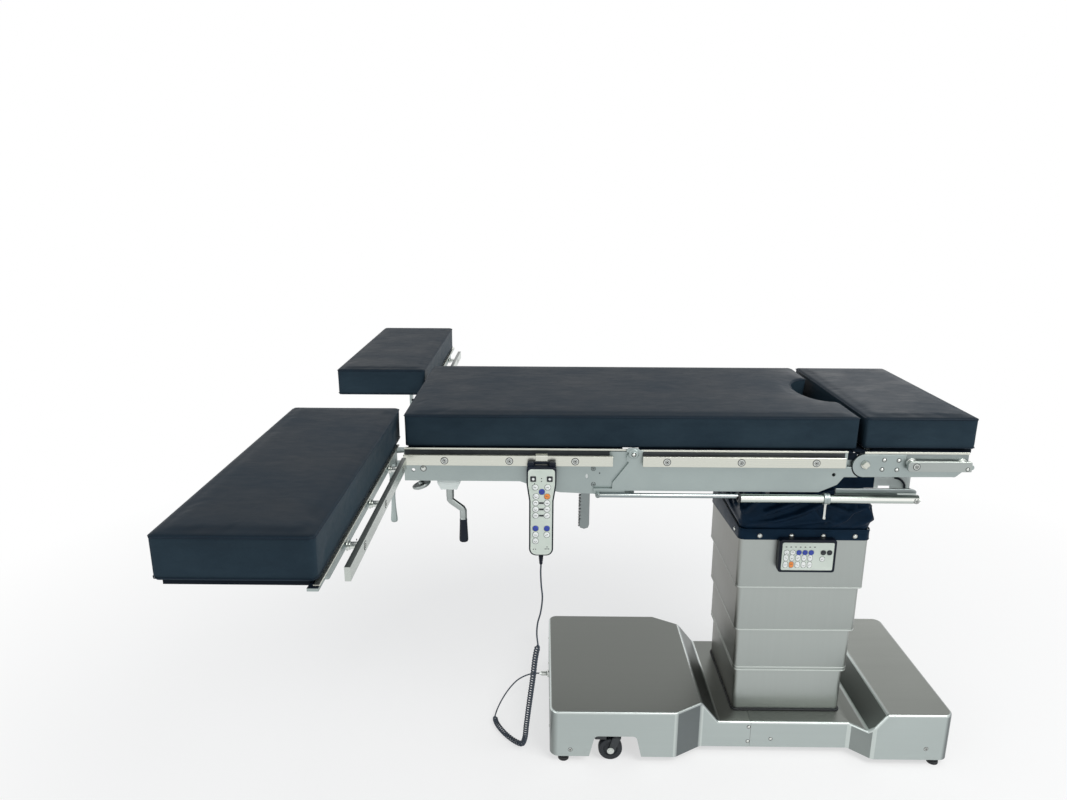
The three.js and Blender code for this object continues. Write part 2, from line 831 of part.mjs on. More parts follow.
function column() {
  place("column_cover_1", sleeve(0, [columnFoot, stageOneTop]), brushedSteel());
  const barrelTop = columnFoot + barrelHeight;
  const floorPlate = round(
    "z", barrelRadius, [columnFoot, columnFoot + webThick], [0, 0], roundSides);
  const barrel = join(pipe(barrelRadius, tubeWall, [columnFoot, barrelTop]), floorPlate);
  place("lift_cylinder", barrel, chassisPaint());
  const webTwo = stageTwoTop - webTwoDrop;
  const stageTwo = join(
    sleeve(1, [stageTwoBottom, stageTwoTop]),
    ...strips(1, stageTwoBottom),
    web(1, webTwo, tubeOneRadius),
    pipe(tubeOneRadius, tubeWall, [webTwo - tubeLength, webTwo]));
  place("column_cover_2", stageTwo, brushedSteel());
  const webThree = stageThreeTop - webThreeDrop;
  const stageThree = join(
    sleeve(2, [stageThreeBottom, stageThreeTop]),
    ...strips(2, stageThreeBottom),
    web(2, webThree, tubeTwoRadius),
    pipe(tubeTwoRadius, tubeWall, [webThree - tubeLength, webThree]));
  place("column_cover_3", stageThree, brushedSteel());
  const stageFour = join(
    sleeve(3, [stageFourBottom, coverEdge]),
    ...strips(3, stageFourBottom));
  place("column_cover_4", stageFour, brushedSteel());
}

// Column head: a plate in the top cover, two ears for the tilting joint and the ram under it
function columnHead() {
  const bottom = coverEdge - headSink;
  const inset = coverWall + seat;
  const length = stageFourLength - inset;
  const width = stageFourWidth - inset;
  const plan = outline([
    [-length, -width, stageCorner],
    [length, -width, stageCorner],
    [length, width, stageCorner],
    [-length, width, stageCorner],
  ]);
  const plate = slab(plan, "z", [bottom, bottom + headPlate]);
  const top = bottom + headPlate / 2;
  const earShape = outline([
    [-earRadius * 1.6, top],
    [earRadius * 1.6, top],
    [earRadius, tiltHeight],
    [-earRadius, tiltHeight],
  ]);
  const reach = [earHalf, earHalf + earThick];
  const ear = join(
    slab(earShape, "y", reach),
    round("y", earRadius, reach, [0, tiltHeight], roundSides));
  const hole = round(
    "y", yokePin + running, [-earHalf - 2 * earThick, earHalf + 2 * earThick],
    [0, tiltHeight], roundSides);
  place("column_head", cut(join(plate, bothSides(ear)), hole), chassisPaint());
  const ramTop = bottom - seat;
  place(
    "lift_ram", round("z", ramRadius, [ramTop - ramLength, ramTop], [0, 0], roundSides),
    brightSteel());
}

// Tilting joint: a cross whose pins turn in the column head's ears and carry the cradle's ears
function tiltYoke() {
  const middle = block(
    [-yokeHalfLength, yokeHalfLength], [-yokeHalfWidth, yokeHalfWidth],
    [tiltHeight - yokeHalfHeight, tiltHeight + yokeHalfHeight]);
  const across = earHalf + earThick + running;
  const along = cradleEarInner + cradleEarThick + running;
  place("tilt_yoke", join(
    middle,
    round("y", yokePin, [-across, across], [0, tiltHeight], roundSides),
    round("x", yokePin, [-along, along], [0, tiltHeight], roundSides),
  ), brightSteel());
}

// Cradle: a plate on the tilting joint, two guide bars and arms that hold the slide cylinder
function tiltCradle() {
  const wide = guideHalf + guideWidth / 2;
  const plate = block(
    [-cradlePlateHalf, cradlePlateHalf], [-wide, wide], [cradleBottom, guideBottom]);
  const guide = block(
    [-guideLeft, guideRight], [guideHalf - guideWidth / 2, wide],
    [guideBottom - cradlePlate / 2, guideTop]);
  const ears = [-1, 1].map((side) => {
    const inner = side * cradleEarInner;
    const outer = side * (cradleEarInner + cradleEarThick);
    const reach = [Math.min(inner, outer), Math.max(inner, outer)];
    return join(
      block(reach, [-cradleEarHalf, cradleEarHalf], [tiltHeight, cradleBottom + cradlePlate / 2]),
      round("x", cradleEarHalf, reach, [0, tiltHeight], roundSides));
  });
  const end = cradleEarInner + 2 * cradleEarThick;
  const hole = round("x", yokePin + running, [-end, end], [0, tiltHeight], roundSides);
  const armTop = slideTubeHeight + slideTubeRadius - seat;
  const armBottomEdge = slideTubeHeight - slideTubeRadius / 2;
  const armTip = -slideTubeOut + slideTubeRadius + seat;
  const leftArm = block(
    [-cradlePlateHalf, -cradlePlateHalf + bracketLength], [armTip, -guideHalf],
    [armBottomEdge, armTop]);
  const rightArm = block(
    [guideRight - bracketLength, guideRight], [armTip, -guideHalf], [armBottomEdge, armTop]);
  const post = block(
    [guideRight - bracketLength, guideRight], [-wide, -guideHalf], [armBottomEdge, guideTop]);
  const body = join(plate, bothSides(guide), ...ears, leftArm, rightArm, post);
  place("tilt_cradle", cut(body, hole), palePlastic());
}

// Slide cylinder at the near side: its rod is held by the top, its tube by the cradle
function slideCylinder() {
  const at = [-slideTubeOut, slideTubeHeight];
  const closed = guideRight - bracketLength / 3;
  const mouth = -guideLeft + bracketLength / 3;
  const tube = cut(
    round("x", slideTubeRadius, [-guideLeft, guideRight], at, roundSides),
    round("x", slideTubeBore, [mouth, closed], at),
    round("x", slideRodRadius + running, [-guideLeft - overrun, mouth + overrun], at));
  const bolt = round("x", slideTubeBore, [guideRight - bite, guideRight + slideBoltHead], at, keySides);
  place("slide_cylinder", join(tube, bolt), brightSteel());
  const eye = block(
    [-slideRodReach - slideTubeBore, -slideRodReach + slideTubeBore],
    [-slideTubeOut - slideTubeBore, -slideTubeOut + slideTubeBore],
    [slideTubeHeight - slideTubeBore, slideTubeHeight + slideRodRadius]);
  const rod = round("x", slideRodRadius, [-slideRodReach, -guideLeft + slideRodInside], at);
  place("slide_rod", join(rod, eye), brightSteel());
  const ringReach = [-lockPlace - lockWidth / 2, -lockPlace + lockWidth / 2];
  const ring = cut(
    round("x", lockRing, ringReach, at, roundSides),
    round(
      "x", slideTubeRadius + running, [ringReach[0] - overrun, ringReach[1] + overrun],
      at, roundSides));
  const low = slideTubeHeight - lockDrop;
  const lever = round(
    "z", lockRod, [low, slideTubeHeight - slideTubeRadius - 2 * running],
    [-lockPlace, -slideTubeOut]);
  place("slide_lock_lever", join(ring, lever), brightSteel());
}

// Side plates of the centre section, its board, cross bars, runners and hinge pins
function centreFrame() {
  const right = seatPlateRight;
  const rise = seatPlateHeight * 0.4;
  const shape = outline([
    [-seatPlateLeft, seatPlateBottom],
    [right - seatPlateSlant, seatPlateBottom],
    [right - seatPlateSlant / 4, seatPlateBottom + rise / 2],
    [right, seatPlateBottom + rise],
    [right, seatPlateTop],
    [-seatPlateLeft + seatPlateSlant, seatPlateTop],
    [-seatPlateLeft, seatPlateBottom + rise / 2],
  ]);
  const plate = slab(shape, "y", [seatPlateIn, seatPlateIn + plateThick]);
  const inner = backPlateIn - running;
  const outer = seatPlateIn + plateThick;
  const hinge = join(
    round("y", hingeRadius * 1.4, [seatPlateIn, outer], [-foldPlace, hingeHeight], roundSides),
    round("y", hingeRadius, [inner, outer + bite], [-foldPlace, hingeHeight], roundSides));
  const crossTop = boardBottom + boardThick / 2;
  const crossPlaces = [
    -foldPlace + 2.5 * crossBar,
    -foldPlace / 2,
    mainPadRight - notchDepth - 1.5 * crossBar,
  ];
  const crosses = crossPlaces.map((x) => block(
    [x, x + crossBar], [-seatPlateIn - bite, seatPlateIn + bite],
    [boardBottom - crossBar, crossTop]));
  const outlinePoints = drawnIn(mainPadOutline(), boardInset);
  const whole = slab(outline(outlinePoints), "z", [boardBottom, boardTop]);
  const board = whole.intersect(block(
    [-foldPlace + hingeDrop, mainPadRight], [-padHalf, padHalf],
    [boardBottom - overrun, boardTop + overrun]));
  const runnerOut = guideWidth / 2 + running + webThick;
  const channel = block(
    [-guideLeft - bracketLength, 0],
    [guideHalf - guideWidth / 2 - running, guideHalf + guideWidth / 2 + running],
    [guideBottom - overrun, guideTop + running]);
  const runners = [0, 1].map((i) => {
    const left = -guideLeft + guideHeight / 2 + i * 2 * crossBar * 1.2;
    const body = block(
      [left, left + crossBar * 1.3], [guideHalf - runnerOut, guideHalf + runnerOut],
      [guideBottom + running, crossTop]);
    return cut(body, channel);
  });
  const pivotHeight = padBottom - headPivotDrop;
  const lugIn = backPlateIn - running - plateThick - webThick;
  const lugReach = [lugIn, backPlateIn - running];
  const lug = join(
    block([right - 2 * crossBar, headPivotPlace], lugReach,
      [pivotHeight - headBolt, pivotHeight + headBolt]),
    round("y", headBolt * 1.4, lugReach, [headPivotPlace, pivotHeight], roundSides));
  const discOut = backPlateIn + 2 * plateThick + headBoltStand;
  const pin = round(
    "y", legPinRadius, [lugIn, discOut + bite], [headPivotPlace, pivotHeight], roundSides);
  const boltHead = block(
    [headPivotPlace - headBolt, headPivotPlace + headBolt], [discOut + running, discOut + plateThick],
    [pivotHeight - headBolt, pivotHeight + headBolt]);
  const rodTop = slideTubeHeight + slideRodRadius + seat;
  const strap = block(
    [-slideRodReach - slideTubeBore, -seatPlateLeft + crossBar], [seatPlateIn, outer],
    [rodTop, seatPlateBottom + webThick]);
  const hole = round(
    "y", hingeRadius / 2, [-outer - overrun, outer + overrun],
    [right - 0.8 * crossBar, seatPlateBottom + 1.15 * rise]);
  const fittings = bothSides(join(...runners, lug, pin, boltHead));
  const body = join(board, ...crosses, bothSides(join(plate, hinge)), fittings, mirrored(strap));
  place("centre_frame", cut(body, hole), satinAluminium());
}

// A side rail: a flat bar on studs that stand on the side plate
function sideRail(name, [left, right], top, plateOut, studShares, side) {
  const bar = block([left, right], [railOut, railOut + railThick], [top - railHeight, top]);
  const middle = top - railHeight / 2;
  const studs = studShares.map((share) => round(
    "y", studRadius, [plateOut + seat, railOut + railThick / 2],
    [left + (right - left) * share, middle]));
  const rail = join(bar, ...studs);
  place(name, side < 0 ? mirrored(rail) : rail, brightSteel());
}

function sideRails() {
  const backOut = backPlateIn + plateThick;
  const seatOut = seatPlateIn + plateThick;
  const backStudShares = [0.2, 0.5, 0.82];
  const seatStudShares = [0.12, 0.49, 0.85];
  const headStudShares = [0.15, 0.8];
  [["near", -1], ["far", 1]].forEach(([name, side]) => {
    sideRail(`back_rail_${name}`, [-backRailLeft, -backRailRight], railTop, backOut,
      backStudShares, side);
    sideRail(`centre_rail_${name}`, [-seatRailLeft, seatRailRight], railTop, seatOut,
      seatStudShares, side);
    sideRail(`head_rail_${name}`, [headRailLeft, headRailRight], padBottom - headRailDrop,
      backOut, headStudShares, side);
  });
}

function rackPlan(clearance) {
  return [
    [-bridgePlace - rackWidth / 2 - clearance, -bridgePlace + rackWidth / 2 + clearance],
    [rackOut - rackThick / 2 - clearance, rackOut + rackThick / 2 + clearance],
  ];
}

// Side plates of the back section, its board, cross bars, rack guides and leg hinge brackets
function backFrame() {
  const top = seatPlateTop;
  const right = -foldPlace + hingeRadius;
  const shape = outline([
    [-backPlateLeft, top - backPlateShallow],
    [-backPlateStep, top - backPlateShallow],
    [-(backPlateStep + backPlateFull) / 2, top - (backPlateShallow + backPlateDeep) / 2],
    [-backPlateFull, top - backPlateDeep + seatPlateSlant / 8],
    [right, top - backPlateDeep],
    [right, top],
    [-backPlateLeft, top],
  ]);
  const outer = backPlateIn + plateThick;
  const reach = [backPlateIn, outer];
  const through = [-outer - overrun, outer + overrun];
  const plate = join(
    slab(shape, "y", reach),
    round("y", hingeRadius * 1.5, reach, [-foldPlace, hingeHeight], roundSides));
  const crossTop = boardBottom + boardThick / 2;
  const crossLefts = [
    -mainPadLeft + boardInset,
    -(crankPlace + bridgePlace) / 2,
    -bridgePlace + 1.6 * crossBar,
  ];
  const crosses = crossLefts.map((x, i) => block(
    [x, x + (i === 0 ? 1.4 : 1) * crossBar], [-backPlateIn - bite, backPlateIn + bite],
    [boardBottom - crossBar, crossTop]));
  const board = block(
    [-mainPadLeft + boardInset, -foldPlace - hingeDrop],
    [-padHalf + boardInset, padHalf - boardInset], [boardBottom, boardTop]);
  const slot = block(
    [-bridgePlace - bridgeWidth / 2 - running, -bridgePlace + bridgeWidth / 2 + running],
    [-rackOut - rackThick, rackOut + rackThick], [boardBottom - overrun, boardTop + overrun]);
  const [rackX, rackY] = rackPlan(running);
  const rackGuide = block(
    [rackX[0] - guideBlock, rackX[1] + guideBlock], [rackY[0] - guideBlock, backPlateIn + bite],
    [top - guideBlockTop - guideBlockHeight, top - guideBlockTop]);
  const rackHole = block(rackX, rackY, [slideTubeHeight, boardTop + overrun]);
  const pivot = padBottom - legPivotDrop;
  const half = legHubHeight / 2 + running;
  const bracketEnd = -backPlateLeft + 0.7 * crossBar;
  const leafNear = legPivotOut - legHub - legLeafEdge;
  const leafFar = legPivotOut + legHub + legLeafEdge;
  const bracketShape = outline([
    [bracketEnd, leafNear],
    [bracketEnd, legPivotOut],
    [-legPivotPlace, leafFar],
    [-legPivotPlace, leafNear],
  ].reverse());
  const leaf = (low) => join(
    slab(bracketShape, "z", [low, low + webThick]),
    round(
      "z", legHub + legLeafEdge, [low, low + webThick], [-legPivotPlace, legPivotOut], roundSides));
  const bracket = join(
    leaf(pivot + half),
    leaf(pivot - half - webThick),
    block([-mainPadLeft + boardInset, bracketEnd], [leafNear, leafFar],
      [pivot - half - webThick, boardBottom + bite]),
    round("z", legPinRadius, [pivot - half - bite, pivot + half + bite],
      [-legPivotPlace, legPivotOut], roundSides));
  const holes = [
    round("y", hingeRadius + running, through, [-foldPlace, hingeHeight], roundSides),
    round("y", hingeRadius / 2, through,
      [-backPlateLeft + 1.5 * crossBar, top - backPlateShallow * 0.6]),
    round("y", hingeRadius / 2, through,
      [-backPlateLeft + crossBar * 0.7, top - backPlateShallow * 0.65]),
  ];
  const sides = join(plate, rackGuide, bracket);
  const body = cut(join(board, ...crosses), slot);
  place("back_frame", cut(
    join(body, bothSides(sides)), ...holes, rackHole, mirrored(rackHole)), satinAluminium());
}

// Kidney bridge: a bar under the mattress on two toothed racks
function kidneyBridge() {
  const barBottom = boardTop - bridgeThick;
  const bar = block(
    [-bridgePlace - bridgeWidth / 2, -bridgePlace + bridgeWidth / 2],
    [-rackOut - rackThick / 2, rackOut + rackThick / 2], [barBottom, boardTop]);
  const left = -bridgePlace - rackWidth / 2;
  const right = -bridgePlace + rackWidth / 2;
  const bottom = padBottom - rackDrop;
  const teeth = [];
  for (let z = bottom + rackWidth; z + rackPitch < slideTubeHeight + rackWidth; z += rackPitch) {
    teeth.push([left, z], [left + toothDepth, z], [left + toothDepth, z + rackPitch / 2],
      [left, z + rackPitch / 2]);
  }
  const shape = outline([
    [left, bottom, rackWidth * 0.45],
    [right, bottom, rackWidth * 0.45],
    [right, barBottom + bite],
    [left, barBottom + bite],
    ...teeth.reverse(),
  ]);
  const rack = slab(shape, "y", [rackOut - rackThick / 2, rackOut + rackThick / 2]);
  place("kidney_bridge", join(bar, bothSides(rack)), satinAluminium());
}

// Crank housing against the near side plate, its shaft tube and the crank
function crankDrive() {
  const top = padBottom - housingDrop + housingHeight;
  const low = padBottom - housingDrop;
  const wide = [-crankOut - housingDepth / 2, -crankOut + housingDepth / 2];
  const half = housingLength / 2;
  const shape = outline([
    [-crankPlace - half * 0.7, low],
    [-crankPlace + half * 0.7, low],
    [-crankPlace + half, top],
    [-crankPlace + half, top + crossBar],
    [-crankPlace - half, top + crossBar],
    [-crankPlace - half, top],
  ]);
  const wallSide = -backPlateIn + seat;
  const body = slab(shape, "y", [wallSide, wide[1]]);
  const tubeEnd = -bridgePlace - rackWidth / 2 - running - guideBlock - seat;
  const tube = round(
    "x", crankShaft, [-crankPlace, tubeEnd], [-crankOut, top + crossBar / 2], rodSides);
  const socket = round(
    "z", crankStub + running, [low - overrun, low + crankShaftLength],
    [-crankPlace, -crankOut], roundSides);
  place("crank_housing", cut(join(body, tube), socket), palePlastic());

  const shaftLow = low - seat - crankShaftLength;
  const tubeTop = low - crankDrop;
  const gripTop = tubeTop - handleTube;
  const shaft = round("z", crankShaft, [shaftLow, low - seat], [-crankPlace, -crankOut]);
  const stub = round(
    "z", crankStub, [low - bite, low + crankShaftLength - bite], [-crankPlace, -crankOut],
    roundSides);
  const bend = solidOf(tubeThrough([
    [-crankPlace, -crankOut, shaftLow + crankTube],
    [-crankPlace, -crankOut, shaftLow - running],
    [-crankPlace + crankThrow, -crankOut, tubeTop],
    [-crankPlace + crankThrow, -crankOut, gripTop - bite],
  ], crankTube, rodSides, bendSteps));
  const grip = round(
    "z", gripRadius, [gripTop - gripLength, gripTop], [-crankPlace + crankThrow, -crankOut]);
  place("kidney_crank", join(shaft, stub, bend, grip), brightSteel());
}

function clampKnob() {
  const top = padBottom - knobDrop + knobHeight;
  const low = padBottom - knobDrop;
  const shape = outline([
    [-knobPlace - knobLength / 2, -knobOut - knobWidth / 2, knobWidth * 0.45],
    [-knobPlace + knobLength / 2, -knobOut - knobWidth / 2, knobWidth * 0.45],
    [-knobPlace + knobLength / 2, -knobOut + knobWidth / 2, knobWidth * 0.45],
    [-knobPlace - knobLength / 2, -knobOut + knobWidth / 2, knobWidth * 0.45],
  ]);
  const stem = round(
    "z", knobStem, [top - bite, boardBottom - crossBar - seat], [-knobPlace, -knobOut]);
  place("clamp_knob", join(slab(shape, "z", [low, top]), stem), satinAluminium());
}

// Head section: side plates on the centre section's pins, a board and cross bars
function headFrame() {
  const top = padBottom - headPlateDrop;
  const pivotHeight = padBottom - headPivotDrop;
  const bottom = top - headPlateHeight;
  const outer = backPlateIn + plateThick;
  const shape = outline([
    [headPivotPlace, bottom],
    [headPlateRight - headPlateChamfer, bottom],
    [headPlateRight, bottom + headPlateChamfer],
    [headPlateRight, top],
    [headPivotPlace, top],
  ]);
  const plate = slab(shape, "y", [backPlateIn, outer]);
  const disc = round(
    "y", headDisc * 0.84, [backPlateIn, outer + plateThick], [headPivotPlace, pivotHeight],
    2 * roundSides);
  const hole = round(
    "y", legPinRadius + running, [-outer - crossBar, outer + crossBar],
    [headPivotPlace, pivotHeight], roundSides);
  const crosses = [headBoardLeft + crossBar, headPlateRight - 2 * crossBar].map((x) => block(
    [x, x + crossBar], [-backPlateIn - bite, backPlateIn + bite],
    [boardBottom - crossBar, boardBottom + boardThick / 2]));
  const board = block(
    [headBoardLeft, headBoardRight], [-padHalf + boardInset, padHalf - boardInset],
    [boardBottom, boardTop]);
  place("head_frame", cut(
    join(board, ...crosses, bothSides(join(plate, disc))), hole), satinAluminium());
}

// One leg section, drawn for the far side and mirrored for the near one
function legSection(name, side) {
  const pivot = padBottom - legPivotDrop;
  const foldOut = legPivotOut + legFold;
  const x = -legPivotPlace;
  const put = (node, solid, material) => place(
    `${node}_${name}`, side < 0 ? mirrored(solid) : solid, material);

  const half = legHubHeight / 2;
  const hub = round("z", legHub, [pivot - half, pivot + half], [x, legPivotOut], roundSides);
  const tongue = join(
    block([x - legTongueHalf, x + legTongueHalf], [legPivotOut, foldOut],
      [pivot - half, pivot + half]),
    round("x", half, [x - legTongueHalf, x + legTongueHalf], [foldOut, pivot], roundSides));
  const pinHalf = legCheekIn + plateThick + running;
  const pin = round("x", legPinRadius, [x - pinHalf, x + pinHalf], [foldOut, pivot], roundSides);
  const bore = round(
    "z", legPinRadius + running, [pivot - 2 * half, pivot + 2 * half], [x, legPivotOut],
    roundSides);
  put("leg_carrier", cut(join(hub, tongue, pin), bore), brightSteel());

  const plateTop = padBottom - plateTopDrop / 2;
  const plateBottom = plateTop - legPlateHeight;
  const plateEnd = foldOut + legPlateReach;
  const cheekRound = half + legCheekEdge;
  const rightReach = [x + legCheekIn, x + legCheekIn + plateThick];
  const plateShape = outline([
    [foldOut - cheekRound, pivot],
    [foldOut + cheekRound, pivot],
    [foldOut + 2 * cheekRound, plateBottom],
    [plateEnd, plateBottom, legPlateHeight / 2],
    [plateEnd, plateTop],
    [foldOut - cheekRound, plateTop],
  ]);
  const rightCheek = join(
    slab(plateShape, "x", rightReach),
    round("x", cheekRound, rightReach, [foldOut, pivot], roundSides));
  const leftReach = [x - legCheekIn - plateThick, x - legCheekIn];
  const leftCheek = join(
    block(leftReach, [foldOut - cheekRound, foldOut + cheekRound], [pivot, boardBottom + bite]),
    round("x", cheekRound, leftReach, [foldOut, pivot], roundSides));
  const boardRight = -legPadRight - legBoardInset;
  const padOuter = legPadInner + legPadLength;
  const board = block(
    [-legPadRight - legPadWidth + legBoardInset, boardRight],
    [foldOut - 1.5 * cheekRound, padOuter - legBoardInset / 2], [boardBottom, boardTop]);
  const ribShares = [0.35, 0.68, 0.96];
  const ribs = ribShares.map((share) => {
    const y = foldOut + legPlateReach * share;
    return block([-legPadRight - legPadWidth + 2 * legBoardInset, rightReach[0] + bite],
      [y - crossBar / 2, y + crossBar / 2], [boardBottom - boardThick, boardBottom + bite]);
  });
  const railLeft = rightReach[1] + legRailOffset - railThick / 2;
  const railStart = foldOut + legRailStart;
  const rail = block([railLeft, railLeft + railThick], [railStart, railStart + legRailLength],
    [plateTop - railHeight, plateTop]);
  const railStudShares = [0.08, 0.45, 0.8];
  const studs = railStudShares.map((share) => round(
    "x", studRadius, [rightReach[1] - bite, railLeft + railThick / 2],
    [railStart + legRailLength * share, plateTop - railHeight / 2]));
  const tipBar = block(
    [rightReach[0] - plateThick, rightReach[1] + plateThick],
    [plateEnd - crossBar, padOuter + legBoardInset], [boardBottom, boardBottom + webThick]);
  const holes = round(
    "x", legPinRadius + running, [leftReach[0] - overrun, rightReach[1] + overrun],
    [foldOut, pivot], roundSides);
  put("leg_frame", cut(
    join(rightCheek, leftCheek, board, ...ribs, rail, ...studs, tipBar), holes),
  satinAluminium());

  const eyeReach = [x + legTongueHalf + running, x + legCheekIn - running];
  const eye = round("x", half, eyeReach, [foldOut, pivot], roundSides);
  const arm = block(eyeReach, [foldOut - leverThick, foldOut + leverThick],
    [pivot - half - leverBlock, pivot]);
  const armMiddle = (eyeReach[0] + eyeReach[1]) / 2;
  const taper = round(
    "z", leverThick * 0.45, [pivot - half - leverLength, pivot - half - leverBlock + bite],
    [armMiddle, foldOut], rodSides, leverThick * 0.8);
  put("leg_lever", cut(join(eye, arm, taper), holes), satinAluminium());

  const padPoints = padOutline(
    [-legPadRight - legPadWidth, -legPadRight], [legPadInner, padOuter]);
  put("leg_pad", cushion(padPoints, padBottom, legPadThick), upholstery());
}

// Mattress of the back and centre sections: one pad whose middle stretch bends at the hinge
function mattress() {
  const whole = cushion(mainPadOutline(), padBottom, padThick);
  const piece = (left, right) => whole.intersect(block(
    [left, right], [-2 * padHalf, 2 * padHalf], [0, 2 * padBottom]));
  const left = -foldPlace - foldReach;
  const right = -foldPlace + foldReach;
  place("back_pad", piece(-mainPadLeft - overrun, left - seat / 2), upholstery());
  place("pad_fold", piece(left + seat / 2, right - seat / 2), upholstery());
  place("centre_pad", piece(right + seat / 2, mainPadRight + overrun), upholstery());
  const headLeft = mainPadRight + headPadGap;
  const headPoints = padOutline([headLeft, headLeft + headPadLength], [-padHalf, padHalf]);
  place("head_pad", cushion(headPoints, padBottom, padThick), upholstery());
}

// Bellows: a folded cloth sleeve from the top cover up to the cradle
function bellows() {
  const low = coverEdge + seat;
  const high = cradleBottom - seat;
  const rings = (inset) => {
    const list = [];
    for (let row = 0; row <= bellowsRows; row += 1) {
      const share = row / bellowsRows;
      const length = stageFourLength + (cradlePlateHalf - stageFourLength) * share - inset;
      const width = stageFourWidth + (cradlePlateHalf - stageFourWidth) * share - inset;
      const z = low + (high - low) * share;
      const ring = roundedRing(length, width, stageCorner, bellowsSideSteps);
      const depth = bellowsFold * Math.sin(Math.PI * share);
      const swell = 1 + (depth * Math.sin(2 * Math.PI * bellowsFolds * share)) / stageFourLength;
      list.push(ring.map(([x, y]) => [x * swell, y * swell, z]));
    }
    return list;
  };
  const outer = rings(coverWall);
  const inner = rings(coverWall + bellowsWall);
  place("bellows", solidOf(loft([...outer, ...inner.reverse()], true)), blackCloth());

  const bandTop = coverEdge + bandThick;
  const band = (inset, [bottom, top]) => {
    const length = stageFourLength + running + bandThick - inset;
    const width = stageFourWidth + running + bandThick - inset;
    return slab(outline([
      [-length, -width, stageCorner],
      [length, -width, stageCorner],
      [length, width, stageCorner],
      [-length, width, stageCorner],
    ]), "z", [bottom, top]);
  };
  const lowest = bandTop - bandHeight - bandSag;
  const ring = cut(
    band(0, [lowest, bandTop]), band(bandThick, [lowest - overrun, bandTop + overrun]));
  const wide = stageFourWidth + overrun;
  const hem = slab(outline([
    [-wide, bandTop - bandHeight],
    [wide, lowest],
    [wide, bandTop + overrun],
    [-wide, bandTop + overrun],
  ]), "x", [-2 * stageFourLength, 2 * stageFourLength]);
  const snapShares = [-0.7, -0.21, 0.28, 0.77];
  const front = stageFourWidth + running + bandThick;
  const snaps = snapShares.map((share) => round(
    "y", snapRadius, [-front - snapRise, -front + bandThick / 2],
    [stageFourLength * share, bandTop - bandHeight * 0.6]));
  place("bellows_band", join(ring.intersect(hem), ...snaps), blackCloth());
}

// Control panel hung on the band at the near side of the column
function columnPanel() {
  const back = stageFourWidth + 2 * running + bandThick + snapRise;
  const top = coverEdge + bandThick - panelDrop;
  const x = panelPlace;
  const half = panelWidth / 2;
  const caseShape = outline([
    [x - half, top - panelHeight, panelBezel],
    [x + half, top - panelHeight, panelBezel],
    [x + half, top, panelBezel],
    [x - half, top, panelBezel],
  ]);
  const tabs = [-1, 1].map((side) => block(
    [x + side * half * 0.78 - panelTab / 2, x + side * half * 0.78 + panelTab / 2],
    [-back - bandThick, -back], [top - panelTab, top + panelDrop]));
  const box = slab(caseShape, "y", [-back - panelDepth, -back]);
  place("panel_case", join(box, ...tabs), blackPlastic());

  const face = -back - panelDepth - seat;
  const plateHalf = half - panelBezel;
  const plate = block(
    [x - plateHalf, x + plateHalf], [face - keypadThick, face],
    [top - panelHeight + panelBezel, top - panelBezel]);
  const columnShares = [-0.75, -0.53, -0.31, -0.09, 0.13];
  const pairShares = [0.44, 0.22];
  const key = (share, rise) => round(
    "y", panelKey, [face - keypadThick - keyRise, face - keypadThick / 2],
    [x + share * plateHalf, top - panelHeight + rise * panelHeight], keySides);
  const pairs = columnShares.flatMap((share) => pairShares.map((rise) => key(share, rise)));
  const rowShares = [-0.75, -0.53, -0.31, -0.09, 0.13, 0.52, 0.74];
  const row = rowShares.map((share) => key(share, 0.7));
  place("panel_keypad", join(plate, ...pairs, ...row, key(0.63, 0.4)), palePlastic());
}

